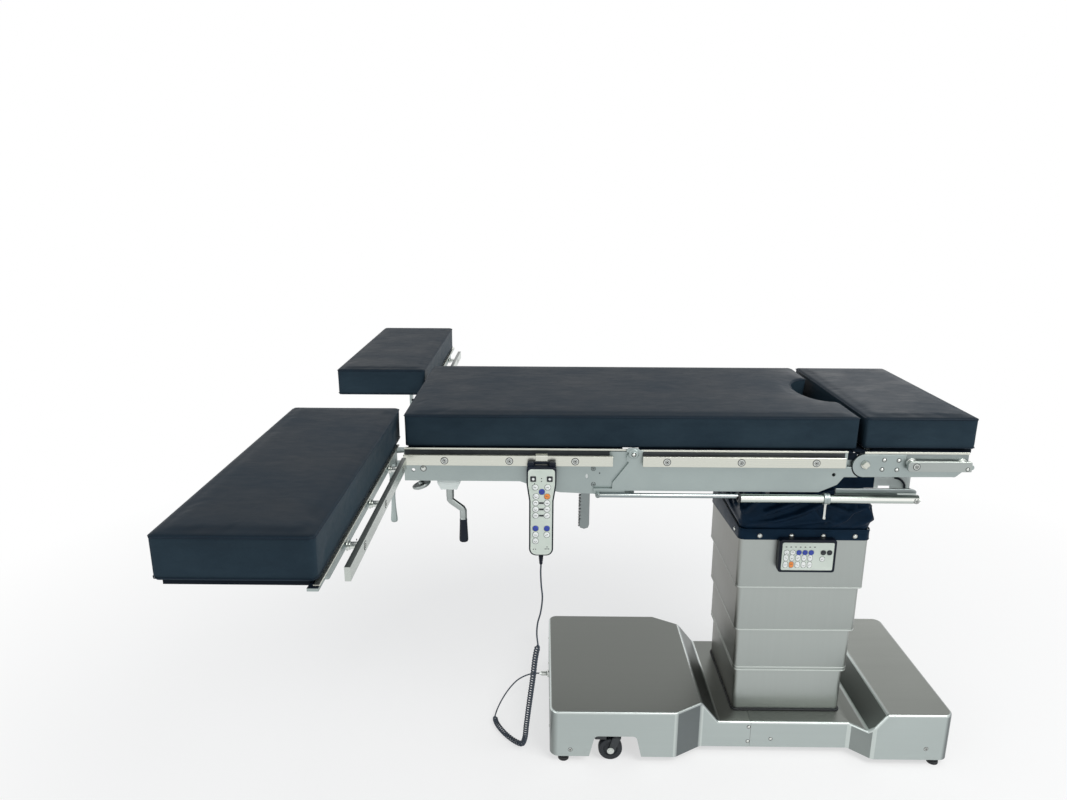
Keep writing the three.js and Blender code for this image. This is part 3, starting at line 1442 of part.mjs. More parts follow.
// Hand control on its hook, and its keypad
function handset() {
  const x = -handsetPlace;
  const top = padBottom - handsetDrop;
  const bottom = top - handsetHeight;
  const back = -railOut - railThick - 2 * running;
  const shapeOf = (inset) => outline([
    [x - handsetWaist / 2 + inset, bottom + inset, handsetDepth / 2],
    [x + handsetWaist / 2 - inset, bottom + inset, handsetDepth / 2],
    [x + handsetWaist / 2 - inset, top - 2 * handsetGrip],
    [x + handsetWidth / 2 - inset, top - handsetGrip],
    [x + handsetWidth / 2 - inset, top - inset, handsetDepth / 4],
    [x - handsetWidth / 2 + inset, top - inset, handsetDepth / 4],
    [x - handsetWidth / 2 + inset, top - handsetGrip],
    [x - handsetWaist / 2 + inset, top - 2 * handsetGrip],
  ]);
  const front = back - handsetDepth;
  const box = slab(shapeOf(0), "y", [front, back]);
  const hookHalf = handsetDepth / 2;
  const hookTop = railTop + running + hookThick;
  const inner = -railOut + running;
  const hook = join(
    block([x - hookHalf, x + hookHalf], [back - hookThick, back], [top - hookHalf, hookTop]),
    block([x - hookHalf, x + hookHalf], [back - hookThick, inner + hookThick],
      [hookTop - hookThick, hookTop]),
    block([x - hookHalf, x + hookHalf], [inner, inner + hookThick],
      [railTop - railHeight / 3, hookTop]));
  const exitY = back - handsetDepth / 2;
  const relief = round(
    "z", reliefRadius * 0.55, [bottom - reliefLength, bottom + bite], [x, exitY], rodSides,
    reliefRadius);
  place("handset_case", join(box, hook, relief), blackPlastic());

  const face = front - seat;
  const plate = slab(shapeOf(panelBezel * 0.7), "y", [face - keypadThick, face]);
  const keyAt = (column, drop, radius = keyRadius) => round(
    "y", radius, [face - keypadThick - keyRise, face - keypadThick / 2],
    [x + column, top - drop], keySides);
  const first = handsetHeight * 0.22;
  const rows = [1.5, 2.5, 3.5, 4.5, 6.55, 7.55].map((count) => first + (count - 0.1) * keyRow);
  const keys = [
    keyAt(-keyColumn * 1.13, first),
    keyAt(keyColumn * 1.13, first),
    keyAt(0, first + keyRow * 0.72),
    ...rows.flatMap((drop) => [keyAt(-keyColumn, drop), keyAt(keyColumn, drop)]),
    keyAt(-keyColumn, rows.at(-1) + keyRow),
    keyAt(-keyColumn * 1.45, first - 1.3 * keyRow),
    keyAt(keyColumn * 1.45, first - 1.3 * keyRow),
  ];
  place("handset_keypad", join(plate, ...keys), palePlastic());
  return [x, exitY, bottom - reliefLength];
}

function socket() {
  const wall = -baseLeft - seat;
  const flange = round(
    "x", socketRadius, [wall - socketThick, wall], [socketPlace, socketHeight], roundSides);
  const neck = round(
    "x", plugRadius, [wall - bite, wall + coverSheet + socketThick], [socketPlace, socketHeight],
    roundSides);
  place("handset_socket", join(flange, neck), brightSteel());
  const plugEnd = wall - socketThick - seat;
  const plug = round(
    "x", plugRadius, [plugEnd - plugLength, plugEnd], [socketPlace, socketHeight], roundSides,
    plugRadius);
  place("cord_plug", plug, brightSteel());
  cordNames.push("cord_plug");
  return [plugEnd - plugLength, socketPlace, socketHeight];
}

// Cord: a straight stretch, a curly one that hangs and lies, and a straight one to the plug.
// The routes' points were chosen by hand, and the curls follow a formula. Where a stretch meets
// the strain relief, the plug or the next stretch, its last points follow from what it meets.
const upperRoute = [
  [-676.5, -318, 595],
  [-675, -318, 560],
  [-672, -317, 525],
  [-676, -316, 485],
  [-683, -315, 455],
  [-685, -313, 425],
];
const curlyRoute = [
  [-682, -305, 388],
  [-688, -294, 350],
  [-695, -272, 270],
  [-704, -246, 180],
  [-712, -222, 95],
  [-717, -206, 40],
  [-725, -194, 15],
  [-744, -176, 8.4],
  [-775, -142, 8.4],
  [-799, -100, 8.4],
  [-806, -72, 8.4],
];
const lowerRoute = [
  [-800, -44, 14],
  [-786, -24, 34],
  [-765, -6, 58],
  [-740, 10, 76],
  [-710, 20, 86],
];

function curlyCord() {
  const spine = new THREE.CatmullRomCurve3(curlyRoute.map((p) => new THREE.Vector3(...p)));
  const steps = curlCount * curlSteps;
  const frames = spine.computeFrenetFrames(steps, false);
  const middles = [];
  // The curls are drawn apart near the top, where the cord's weight pulls on them
  const openShare = 0.2;
  const growth = (share) => share - openShare * Math.sin(Math.PI * share) * (1 - share) / Math.PI;
  for (let i = 0; i <= steps; i += 1) {
    const share = i / steps;
    const along = 1 - growth(1 - share);
    const angle = (2 * Math.PI * i) / curlSteps;
    const rise = Math.min(1, share * curlCount, (1 - share) * curlCount);
    const centre = spine.getPointAt(Math.min(1, Math.max(0, along)));
    const frame = Math.round(along * steps);
    const offset = new THREE.Vector3()
      .addScaledVector(frames.normals[frame], Math.cos(angle) * curlRadius * rise)
      .addScaledVector(frames.binormals[frame], Math.sin(angle) * curlRadius * rise);
    middles.push(centre.add(offset));
  }
  const plain = 2 * cordRadius;
  const first = spine.getPointAt(0).addScaledVector(spine.getTangentAt(0), -plain);
  const last = spine.getPointAt(1).addScaledVector(spine.getTangentAt(1), plain);
  return [first, ...middles, last];
}

// Two points that lead a stretch face to face with the end of another: its tip and one before it
function leadTo(tip, before) {
  const away = tip.clone().sub(before).normalize();
  const start = tip.clone().addScaledVector(away, seat);
  return [start, start.clone().addScaledVector(away, 2 * cordRadius)];
}

// A tube of few sides round a list of points, with its two ends closed
function tubeRound(middles, radius, sides) {
  const rings = [];
  let normal = new THREE.Vector3(1, 0, 0);
  middles.forEach((middle, i) => {
    const ahead = middles[Math.min(i + 1, middles.length - 1)];
    const behind = middles[Math.max(i - 1, 0)];
    const tangent = ahead.clone().sub(behind).normalize();
    normal = normal.clone().addScaledVector(tangent, -normal.dot(tangent)).normalize();
    const side = tangent.clone().cross(normal);
    const ring = [];
    for (let k = 0; k < sides; k += 1) {
      const angle = (2 * Math.PI * k) / sides;
      const point = middle.clone()
        .addScaledVector(normal, radius * Math.cos(angle))
        .addScaledVector(side, radius * Math.sin(angle));
      ring.push(point.toArray());
    }
    rings.push(ring);
  });
  const count = sides;
  const index = [];
  for (let r = 0; r + 1 < rings.length; r += 1) {
    for (let i = 0; i < count; i += 1) {
      const j = (i + 1) % count;
      const [a, b, c, d] = [r * count + i, r * count + j, (r + 1) * count + j, (r + 1) * count + i];
      index.push(a, b, c, a, c, d);
    }
  }
  const end = (rings.length - 1) * count;
  for (let i = 1; i + 1 < count; i += 1) {
    index.push(0, i + 1, i);
    index.push(end, end + i, end + i + 1);
  }
  const geometry = new THREE.BufferGeometry();
  geometry.setAttribute("position", new THREE.Float32BufferAttribute(rings.flat(2), 3));
  geometry.setIndex(index);
  return geometry;
}

// Least gap between stretches of the curly cord that are at least half a curl apart
function leastGap(middles, radius) {
  let least = Infinity;
  for (let i = 0; i < middles.length; i += 1) {
    for (let j = i + curlSteps / 2; j < Math.min(middles.length, i + 8 * curlSteps); j += 1) {
      least = Math.min(least, middles[i].distanceTo(middles[j]));
    }
  }
  return least - 2 * radius;
}

function cords(reliefEnd, plugEnd) {
  const straight = (name, points) => {
    const curve = new THREE.CatmullRomCurve3(points.slice(1, -1));
    const steps = Math.round(curve.getLength() / (cordStepShare * 2 * cordRadius));
    const middles = [points[0], ...curve.getSpacedPoints(steps), points.at(-1)];
    place(name, tubeRound(middles, cordRadius, rodSides), blackRubber());
    cordNames.push(name);
  };
  const toVectors = (route) => route.map((p) => new THREE.Vector3(...p));
  const middles = curlyCord();
  const up = new THREE.Vector3(0, 0, 1);
  const right = new THREE.Vector3(1, 0, 0);
  const relief = new THREE.Vector3(...reliefEnd);
  const plug = new THREE.Vector3(...plugEnd);
  straight("cord_upper", [
    ...leadTo(relief, relief.clone().add(up)),
    ...toVectors(upperRoute),
    ...leadTo(middles[0], middles[1]).reverse(),
  ]);
  straight("cord_lower", [
    ...leadTo(middles.at(-1), middles.at(-2)),
    ...toVectors(lowerRoute),
    ...leadTo(plug, plug.clone().add(right)).reverse(),
  ]);
  console.log("least gap of the curly cord to itself, mm:",
    leastGap(middles, cordRadius).toFixed(2));
  place("curly_cord", tubeRound(middles, cordRadius, curlSides), blackRubber());
  cordNames.push("curly_cord");
}

baseCovers();
chassis();
powerUnit();
casters();
column();
columnHead();
tiltYoke();
tiltCradle();
slideCylinder();
centreFrame();
sideRails();
backFrame();
kidneyBridge();
crankDrive();
clampKnob();
headFrame();
legSection("near", -1);
legSection("far", 1);
mattress();
bellows();
columnPanel();
cords(handset(), socket());

// Origin under the middle of the table, the cord left out
const box = new THREE.Box3();
table.children
  .filter((mesh) => !cordNames.includes(mesh.name))
  .forEach((mesh) => box.expandByObject(mesh));
const middle = box.getCenter(new THREE.Vector3());
table.position.set(-middle.x, -middle.y, -box.min.z);

export default table;
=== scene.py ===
"""The operating table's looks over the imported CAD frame. The helpers take millimetres in the part's own frame."""
import bpy
import bmesh
import json
import math
import numpy as np
from mathutils import Matrix, Vector

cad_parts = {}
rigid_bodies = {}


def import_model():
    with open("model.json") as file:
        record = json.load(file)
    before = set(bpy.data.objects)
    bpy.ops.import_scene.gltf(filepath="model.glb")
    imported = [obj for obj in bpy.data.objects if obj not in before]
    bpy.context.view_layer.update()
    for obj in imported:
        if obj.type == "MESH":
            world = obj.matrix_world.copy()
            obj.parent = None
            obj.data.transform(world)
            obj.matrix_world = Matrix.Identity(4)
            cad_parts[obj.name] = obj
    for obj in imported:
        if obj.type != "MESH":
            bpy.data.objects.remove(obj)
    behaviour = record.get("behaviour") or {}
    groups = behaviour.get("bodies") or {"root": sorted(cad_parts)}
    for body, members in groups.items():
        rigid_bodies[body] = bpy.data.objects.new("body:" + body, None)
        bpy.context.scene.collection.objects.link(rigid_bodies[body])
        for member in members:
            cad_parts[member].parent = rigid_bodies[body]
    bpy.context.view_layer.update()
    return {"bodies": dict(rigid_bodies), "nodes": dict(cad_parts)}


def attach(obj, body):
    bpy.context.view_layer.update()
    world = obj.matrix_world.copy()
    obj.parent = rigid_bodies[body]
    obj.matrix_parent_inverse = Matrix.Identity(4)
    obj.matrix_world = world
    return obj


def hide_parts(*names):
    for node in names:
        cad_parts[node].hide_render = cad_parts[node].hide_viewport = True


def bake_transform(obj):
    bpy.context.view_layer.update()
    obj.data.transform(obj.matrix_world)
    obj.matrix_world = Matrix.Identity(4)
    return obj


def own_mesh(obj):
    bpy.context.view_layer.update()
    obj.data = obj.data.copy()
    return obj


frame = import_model()
MM = 0.001
COLUMN = 432.5  # the column's axis in X
scene = bpy.context.scene

# ---------------------------------------------------------------- camera
PHOTO_WIDTH = 1067  # in pixels, as FOCAL is
FOCAL = 789.5
SENSOR = 36
EYE = (-0.2447, -2.0403, 1.4743)
YAW, PITCH, ROLL = math.radians(-0.60), math.radians(14.80), math.radians(-0.22)
forward = Vector((math.sin(YAW) * math.cos(PITCH), math.cos(YAW) * math.cos(PITCH), -math.sin(PITCH)))
right = Vector((math.cos(YAW), -math.sin(YAW), 0))
down = forward.cross(right)
across = math.cos(ROLL) * right + math.sin(ROLL) * down
downward = -math.sin(ROLL) * right + math.cos(ROLL) * down
camera = bpy.data.objects.new("camera", bpy.data.cameras.new("camera"))
scene.collection.objects.link(camera)
camera.data.sensor_width = SENSOR
camera.data.sensor_fit = "HORIZONTAL"
camera.data.lens = FOCAL / PHOTO_WIDTH * SENSOR
camera.data.clip_end = 60
camera.matrix_world = Matrix((
    *[(across[i], -downward[i], -forward[i], EYE[i]) for i in range(3)],
    (0, 0, 0, 1)))
scene.camera = camera


# ---------------------------------------------------------------- materials
def colour(text):
    """A linear colour from a hexadecimal one."""
    values = [int(text[i:i + 2], 16) / 255 for i in (0, 2, 4)]
    return tuple(v / 12.92 if v <= 0.04045 else ((v + 0.055) / 1.055) ** 2.4 for v in values) + (1,)


class Surface:
    """A material with a Principled shader, and small helpers for its texture nodes."""

    def __init__(self, name, roughness=0.5, metal=0.0, **sockets):
        self.material = bpy.data.materials.new(name)
        self.material.use_nodes = True
        self.tree = self.material.node_tree
        self.tree.nodes.clear()
        self.output = self.node("OutputMaterial")
        self.shader = self.node("BsdfPrincipled", Roughness=roughness, Metallic=metal, **sockets)
        self.link(self.shader.outputs[0], self.output.inputs[0])
        coordinates = self.node("TexCoord")
        self.place = coordinates.outputs["Object"]
        self.facing = coordinates.outputs["Normal"]
        self.height = None

    def node(self, kind, **inputs):
        made = self.tree.nodes.new("ShaderNode" + kind)
        for key, value in inputs.items():
            made.inputs[key.replace("_", " ")].default_value = value
        return made

    def link(self, output, target):
        self.tree.links.new(output, target)

    def texture(self, kind, scale, turn=(0, 0, 0), **inputs):
        """A texture over the object: scale gives its waves in a metre, the same or one for each axis."""
        mapping = self.node("Mapping", Scale=scale if isinstance(scale, tuple) else (scale,) * 3, Rotation=turn)
        self.link(self.place, mapping.inputs["Vector"])
        made = self.node("Tex" + kind, Scale=1, **inputs)
        self.link(mapping.outputs[0], made.inputs["Vector"])
        return made

    def noise(self, scale, detail=3, rough=0.55, distort=0.0):
        return self.texture("Noise", scale, Detail=detail, Roughness=rough, Distortion=distort).outputs["Fac"]

    def cells(self, scale):
        return self.texture("Voronoi", scale).outputs["Distance"]

    def weave(self, scale, turn):
        return self.texture("Wave", scale, turn, Distortion=0.4).outputs["Fac"]

    def sum(self, *terms):
        """A weighted sum of texture values: (output, weight) pairs."""
        total = None
        for output, weight in terms:
            node = self.node("Math")
            node.operation = "MULTIPLY_ADD"
            self.link(output, node.inputs[0])
            node.inputs[1].default_value = weight
            node.inputs[2].default_value = 0
            if total is not None:
                self.link(total, node.inputs[2])
            total = node.outputs[0]
        return total

    def spread(self, value, low, high, to=(0, 1)):
        """The value's stretch from low to high laid over another one."""
        node = self.node("MapRange", From_Min=low, From_Max=high, To_Min=to[0], To_Max=to[1])
        self.link(value, node.inputs["Value"])
        return node.outputs["Result"]

    def normal(self, axis):
        """The normal's part along an axis."""
        part = self.node("SeparateXYZ")
        self.link(self.facing, part.inputs[0])
        return part.outputs[axis.upper()]

    def tint(self, value, stops):
        """The base colour, from a value through colour stops [(place, hexadecimal)]."""
        ramp = self.node("ValToRGB")
        elements = ramp.color_ramp.elements
        while len(elements) < len(stops):
            elements.new(0.5)
        for element, (place, text) in zip(elements, stops):
            element.position = place
            element.color = colour(text)
        self.link(value, ramp.inputs[0])
        self.link(ramp.outputs[0], self.shader.inputs["Base Color"])
        return self

    def rough(self, value, low, high, to):
        self.link(self.spread(value, low, high, to), self.shader.inputs["Roughness"])
        return self

    def bump(self, value, depth, strength=1.0):
        """Adds relief of a depth in millimetres."""
        node = self.node("Bump", Distance=depth * MM, Strength=strength)
        self.link(value, node.inputs["Height"])
        if self.height is not None:
            self.link(self.height, node.inputs["Normal"])
        self.height = node.outputs["Normal"]
        self.link(self.height, self.shader.inputs["Normal"])
        return self


def brushed(name, tone, along, roughness=0.34, fine=900, contrast=0.05, sides=()):
    """Brushed metal whose lines run along an axis. Sides paints light and shade into the colour by the way a face
    points:
    (axis, from, to, tone) blends towards that tone as the normal's part along the axis goes from one to the other."""
    surface = Surface(name, roughness, 1.0)
    stretch = lambda wide, long: tuple(long if axis == along else wide for axis in "xyz")
    lines = surface.noise(stretch(fine, 5), 4, 0.65)
    bands = surface.noise(stretch(90, 2), 3, 0.6)
    clouds = surface.noise(2.2, 2, 0.5)
    value = surface.sum((lines, 0.4), (bands, 0.22), (clouds, 0.38))
    grain = surface.spread(value, 0.3, 0.7, (1 - contrast, 1 + contrast))
    scale = surface.node("VectorMath")
    scale.operation = "SCALE"
    scale.inputs[0].default_value = colour(tone)[:3]
    mixed = None
    # painted highlights and shade: the base tone blends towards each side's tone by the way the face points
    for axis, low, high, other in sides:
        blend = surface.node("Mix")
        blend.data_type = "RGBA"
        blend.inputs[6].default_value = colour(tone)
        blend.inputs[7].default_value = colour(other)
        surface.link(surface.spread(surface.normal(axis), low, high), blend.inputs[0])
        if mixed is not None:
            surface.link(mixed, blend.inputs[6])
        mixed = blend.outputs[2]
    if mixed is not None:
        surface.link(mixed, scale.inputs[0])
    surface.link(grain, scale.inputs["Scale"])
    surface.link(scale.outputs[0], surface.shader.inputs["Base Color"])
    surface.rough(surface.sum((lines, 0.6), (clouds, 0.4)), 0.35, 0.65, (roughness - 0.05, roughness + 0.07))
    return surface.bump(lines, 0.008, 0.4).material


def satin(name, dark, light, roughness=0.42):
    """Blasted and lacquered metal: fine grain without direction, faint clouds and specks."""
    surface = Surface(name, roughness, 1.0)
    grain = surface.noise(1500, 2, 0.6)
    clouds = surface.noise(5, 4, 0.6)
    surface.tint(surface.sum((grain, 0.4), (clouds, 0.6)), [(0.33, dark), (0.67, light)])
    surface.rough(clouds, 0.3, 0.7, (roughness - 0.05, roughness + 0.07))
    return surface.bump(grain, 0.02, 0.4).material


def clouded(name, dark, light, roughness, scale, fall, rise, **sockets):
    """A surface whose tone and roughness drift in soft clouds."""
    surface = Surface(name, roughness, **sockets)
    clouds = surface.noise(scale, 4, 0.6)
    surface.tint(clouds, [(0.3, dark), (0.7, light)])
    return surface.rough(clouds, 0.3, 0.7, (roughness - fall, roughness + rise))


def painted(name, dark, light, roughness=0.4):
    surface = clouded(name, dark, light, roughness, 9, 0.05, 0.08)
    return surface.bump(surface.noise(380, 2, 0.5), 0.03, 0.5).material


def moulded(name, dark, light, roughness=0.45, grain=700, depth=0.03, **sockets):
    surface = clouded(name, dark, light, roughness, 14, 0.06, 0.08, **sockets)
    return surface.bump(surface.cells(grain), depth, 0.4).material


def rubber(name, dark, light, roughness=0.6):
    surface = clouded(name, dark, light, roughness, 30, 0.08, 0.1)
    return surface.bump(surface.noise(900, 3, 0.6), 0.03, 0.4).material


def leatherette(name, dark, light, painted_side_dark=None, painted_side_light=None, roughness=0.5):
    """Coated mattress cloth: fine pebble grain, slow unevenness of the foam and faint handling marks.
    The upright sides can take their own tones, painted light that makes them lighter than the top."""
    surface = Surface(name, roughness, Specular_IOR_Level=0.07)
    pebbles = surface.cells(850)
    grain = surface.noise(420, 3, 0.6)
    slow = surface.noise((7, 9, 9), 3, 0.5)
    marks = surface.noise((24, 60, 60), 4, 0.7, 0.6)
    tone = surface.sum((slow, 0.6), (marks, 0.25), (grain, 0.15))
    if painted_side_dark:
        # painted light: faces that stand upright take the lighter side tones
        painted_side_share = surface.spread(surface.normal("z"), 0.25, 0.85, (0.5, 0))
        surface.tint(surface.sum((tone, 0.5), (painted_side_share, 1)), [
            (0.18, dark), (0.32, light), (0.68, painted_side_dark), (0.82, painted_side_light)])
    else:
        surface.tint(tone, [(0.36, dark), (0.64, light)])
    surface.rough(surface.sum((marks, 0.5), (slow, 0.5)), 0.35, 0.65, (roughness - 0.07, roughness + 0.08))
    surface.bump(slow, 1.1, 0.2)
    return surface.bump(surface.sum((pebbles, 0.6), (grain, 0.6)), 0.09, 0.4).material


def sleeve_cloth(name, dark, light):
    """Thin woven cloth with a bluish sheen."""
    surface = Surface(name, 0.4, Specular_IOR_Level=0.15, Specular_Tint=(0.42, 0.68, 1, 1))
    eighth = math.radians(45)
    warp = surface.weave(620, (0, 0, eighth))
    weft = surface.weave(620, (eighth, 0, -eighth))
    slow = surface.noise(20, 4, 0.6)
    surface.tint(slow, [(0.3, dark), (0.7, light)])
    surface.rough(slow, 0.3, 0.7, (0.36, 0.5))
    surface.bump(slow, 1.2, 0.3)
    return surface.bump(surface.sum((warp, 0.5), (weft, 0.5)), 0.05, 0.5).material


# painted shade: the faces turned along X and the upward faces are darker than the fronts
COVER = brushed("cover_steel", "b4bdbb", "x", 0.36, sides=[
    ("x", 0.12, 0.5, "6c7273"), ("x", -0.15, -0.7, "868c8a"), ("z", 0.25, 0.85, "70736f")])
# painted highlight: the rounded folds are lighter than the flat sheet, with painted shade darkening their faces turned
# along X and upward
COVER_FOLD_HIGHLIGHT = brushed("cover_fold_steel", "c8d0cd", "x", 0.3, sides=[
    ("x", 0.2, 0.6, "8b9192"), ("z", 0.9, 0.995, "858885")])
# painted shade: the faces turned towards -X and +X are darker than the front
COLUMN_STEEL = brushed("column_steel", "a9afac", "z", 0.38, fine=700, sides=[
    ("x", -0.25, -0.97, "858580"), ("x", 0.25, 0.97, "8f928f")])
# painted shade: the downward faces are darker
RAIL = brushed("rail_steel", "d3d5cb", "x", 0.26, contrast=0.03, sides=[("z", -0.3, -0.9, "8a8f8a")])
BRIGHT = brushed("bright_steel", "d2d6d2", "x", 0.2, fine=1300)
# painted highlight and shade: a bright band round the upper middle, a dark top and a darker underside
TUBE = brushed("tube_steel", "b6beb9", "x", 0.2, fine=1300, sides=[
    ("z", -0.2, 0.02, "f4f6f0"), ("z", 0.42, 0.6, "6f7772"), ("z", -0.5, -0.85, "8b948e")])
# painted highlight: the hems are lighter than the covers, with painted shade darkening their faces turned to -X
HEM_HIGHLIGHT = brushed("hem_steel", "c6ccc8", "x", 0.28, fine=1200, sides=[("x", -0.2, -0.9, "7f817c")])
# painted highlight and shade: a lighter band round the upper middle, a darker top and a darker underside
ROD = brushed("rod_steel", "98a2a4", "x", 0.24, fine=1300, sides=[
    ("z", 0.05, 0.3, "c3cac8"), ("z", 0.55, 0.85, "6f787b"), ("z", -0.3, -0.8, "7a8386")])
# painted highlight: the upward faces are lighter
HEAD_RAIL = brushed("head_rail_steel", "a9b0ad", "x", 0.3, sides=[("z", 0.4, 0.9, "c9cec8")])
# painted shade: the upward faces are darker
LEG_RAIL = brushed("leg_rail_steel", "bfc5c0", "y", 0.28, fine=1000, sides=[("z", 0.4, 0.9, "5f6562")])
# painted shade: the faces turned to +X, to -X and upward are darker
CRANK = brushed("crank_steel", "a9b0ae", "z", 0.3, contrast=0.07, sides=[
    ("x", 0.45, 0.97, "5b6261"), ("x", -0.55, -0.98, "737a79"), ("z", 0.3, 0.8, "5f6665")])
SATIN = satin("satin_aluminium", "9ba6a5", "aeb9b7")
SATIN_DARK = satin("satin_steel", "7c8484", "979f9f", 0.34)
BRACKET = painted("pale_paint", "d6dedb", "e3e9e6")
CHASSIS = painted("chassis_paint", "25292c", "32373a", 0.5)
# the last two tones are painted light: the upright sides lighter than the top
PAD = leatherette("mattress_cloth", "111c25", "1a2630", "1f2d37", "2a3943")
PAD_BASE = leatherette("mattress_base_cloth", "0e161f", "161f29", roughness=0.6)
PIPING = leatherette("mattress_piping", "18222c", "232f3b", roughness=0.45)
CLOTH = sleeve_cloth("sleeve_cloth", "081624", "102336")
BAND = sleeve_cloth("band_cloth", "0a1928", "122638")
CASE = moulded("case_plastic", "0b121d", "131c2a", 0.42, Specular_IOR_Level=0.22)
FILM = moulded("keypad_film", "c9d3c9", "d6ded5", 0.42, 900, 0.015)
KEY_WHITE, KEY_BLUE, KEY_ORANGE, KEY_BLACK, KEY_LINE = (
    moulded(f"key_{name}", dark, light, roughness, 900, 0.01) for name, dark, light, roughness in (
        ("white", "e6eae8", "f2f4f2", 0.35), ("blue", "22379a", "2f4bb8", 0.35), ("orange", "e07a2c", "f39a4e", 0.35),
        ("black", "0c1018", "151b26", 0.35), ("outline", "3f4746", "4d5554", 0.45)))
CORD = rubber("cord_rubber", "232d39", "303c4a", 0.45)
TYRE = rubber("wheel_rubber", "14181d", "20262c")
SEAL = rubber("seal_rubber", "0d1013", "171b1f")
HOLE = rubber("hole_shade", "05070a", "0b0e12", 0.8)


# ---------------------------------------------------------------- shapes
def smooth(obj, angle):
    """Smooth faces, with sharp edges only where they turn by more than an angle in degrees."""
    obj.data.polygons.foreach_set("use_smooth", [True] * len(obj.data.polygons))
    obj.data.set_sharp_from_angle(angle=math.radians(angle))


def build(name, points, faces, material, angle=35):
    """An object from points in millimetres, smooth up to an angle."""
    mesh = bpy.data.meshes.new(name)
    mesh.from_pydata([tuple(Vector(p) * MM) for p in points], [], faces)
    for item in material if isinstance(material, list) else [material]:
        mesh.materials.append(item)
    work = bmesh.new()
    work.from_mesh(mesh)
    bmesh.ops.recalc_face_normals(work, faces=work.faces)
    work.to_mesh(mesh)
    work.free()
    obj = bpy.data.objects.new(name, mesh)
    smooth(obj, angle)
    scene.collection.objects.link(obj)
    return obj


def put(obj, body, slot, *nodes):
    """The piece rides on a body and stands for its CAD nodes, which it hides. The slot is not used."""
    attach(obj, body)
    if nodes:
        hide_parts(*nodes)
    return obj


def axes(direction):
    """Two axes across a direction, and the direction."""
    w = Vector(direction).normalized()
    start = Vector((0, 0, 1)) if abs(w.z) < 0.9 else Vector((1, 0, 0))
    u = start.cross(w).normalized()
    return u, w.cross(u), w


def loft(rings, closed=False):
    """Points and faces of rings of equally many points; a ring of one point ends in a tip."""
    points, faces, starts = [], [], []
    for ring in rings:
        starts.append(len(points))
        points.extend(ring)
    pairs = list(zip(range(len(rings)), range(1, len(rings))))
    if closed:
        pairs.append((len(rings) - 1, 0))
    for a, b in pairs:
        count = max(len(rings[a]), len(rings[b]))
        for i in range(count):
            j = (i + 1) % count
            corners = []
            for ring, (first, second) in ((a, (i, j)), (b, (j, i))):
                for k in (first, second):
                    index = starts[ring] + (k if len(rings[ring]) > 1 else 0)
                    if index not in corners:
                        corners.append(index)
            faces.append(corners)
    if not closed:
        for ring, turn in ((0, -1), (len(rings) - 1, 1)):
            if len(rings[ring]) > 2:
                faces.append([starts[ring] + i for i in range(len(rings[ring]))][::turn])
    return points, faces


def lathe(name, at, direction, profile, material, steps=32, closed=False, angle=35, scale=(1, 1)):
    """A turned piece: profile gives (radius, height along the direction)."""
    u, v, w = axes(direction)
    rings = []
    for radius, height in profile:
        centre = Vector(at) + w * height
        if radius <= 0:
            rings.append([centre])
            continue
        rings.append([
            centre + u * (radius * scale[0] * math.cos(2 * math.pi * i / steps))
            + v * (radius * scale[1] * math.sin(2 * math.pi * i / steps)) for i in range(steps)])
    return build(name, *loft(rings, closed), material, angle)


def tube_rings(points, radii, sides):
    points = [Vector(p) for p in points]
    if not isinstance(radii, (list, tuple)):
        radii = [radii] * len(points)
    normal = Vector((1, 0, 0))
    first = (points[1] - points[0]).normalized()
    if abs(normal.dot(first)) > 0.9:
        normal = Vector((0, 0, 1))
    rings = []
    for i, point in enumerate(points):
        ahead = points[min(i + 1, len(points) - 1)]
        behind = points[max(i - 1, 0)]
        tangent = (ahead - behind).normalized()
        normal = (normal - tangent * normal.dot(tangent)).normalized()
        side = tangent.cross(normal)
        rings.append([
            point + normal * (radii[i] * math.cos(2 * math.pi * k / sides))
            + side * (radii[i] * math.sin(2 * math.pi * k / sides)) for k in range(sides)])
    return rings


def tube(name, points, radii, material, sides=16, angle=50):
    return build(name, *loft(tube_rings(points, radii, sides)), material, angle)


def ring_tube(name, points, radius, material, sides=8):
    """A tube round a closed line."""
    points = [Vector(p) for p in points]
    rings = []
    count = len(points)
    for i, point in enumerate(points):
        tangent = (points[(i + 1) % count] - points[i - 1]).normalized()
        u, v, _ = axes(tangent)
        if abs(tangent.z) < 0.9:
            v = Vector((0, 0, 1))
            u = v.cross(tangent).normalized()
        rings.append([
            point + u * (radius * math.cos(2 * math.pi * k / sides))
            + v * (radius * math.sin(2 * math.pi * k / sides)) for k in range(sides)])
    return build(name, *loft(rings, True), material, 60)


def rounded(corners, steps=6):
    """A closed outline whose corners (a, b, radius) are rounded with true arcs."""
    points = []
    count = len(corners)
    for i, corner in enumerate(corners):
        a, b, radius = (*corner, 0)[:3]
        here = Vector((a, b))
        if radius <= 0:
            points.append((a, b))
            continue
        before = (Vector(corners[i - 1][:2]) - here).normalized()
        after = (Vector(corners[(i + 1) % count][:2]) - here).normalized()
        turn = before.angle(after)
        reach = radius / math.tan(turn / 2)
        middle = here + (before + after).normalized() * (radius / math.sin(turn / 2))
        start = here + before * reach - middle
        end = here + after * reach - middle
        sweep = start.angle_signed(end)
        base = math.atan2(start.y, start.x)
        for k in range(steps + 1):
            angle = base - sweep * k / steps
            points.append((middle.x + radius * math.cos(angle), middle.y + radius * math.sin(angle)))
    return points


def rectangle(a0, a1, b0, b1, radius, steps=6):
    return rounded([(a0, b0, radius), (a1, b0, radius), (a1, b1, radius), (a0, b1, radius)], steps)


def spot(axis, a, b, height):
    """A point from its two places across an axis and its height along it."""
    return {"x": (height, a, b), "y": (a, height, b), "z": (a, b, height)}[axis]


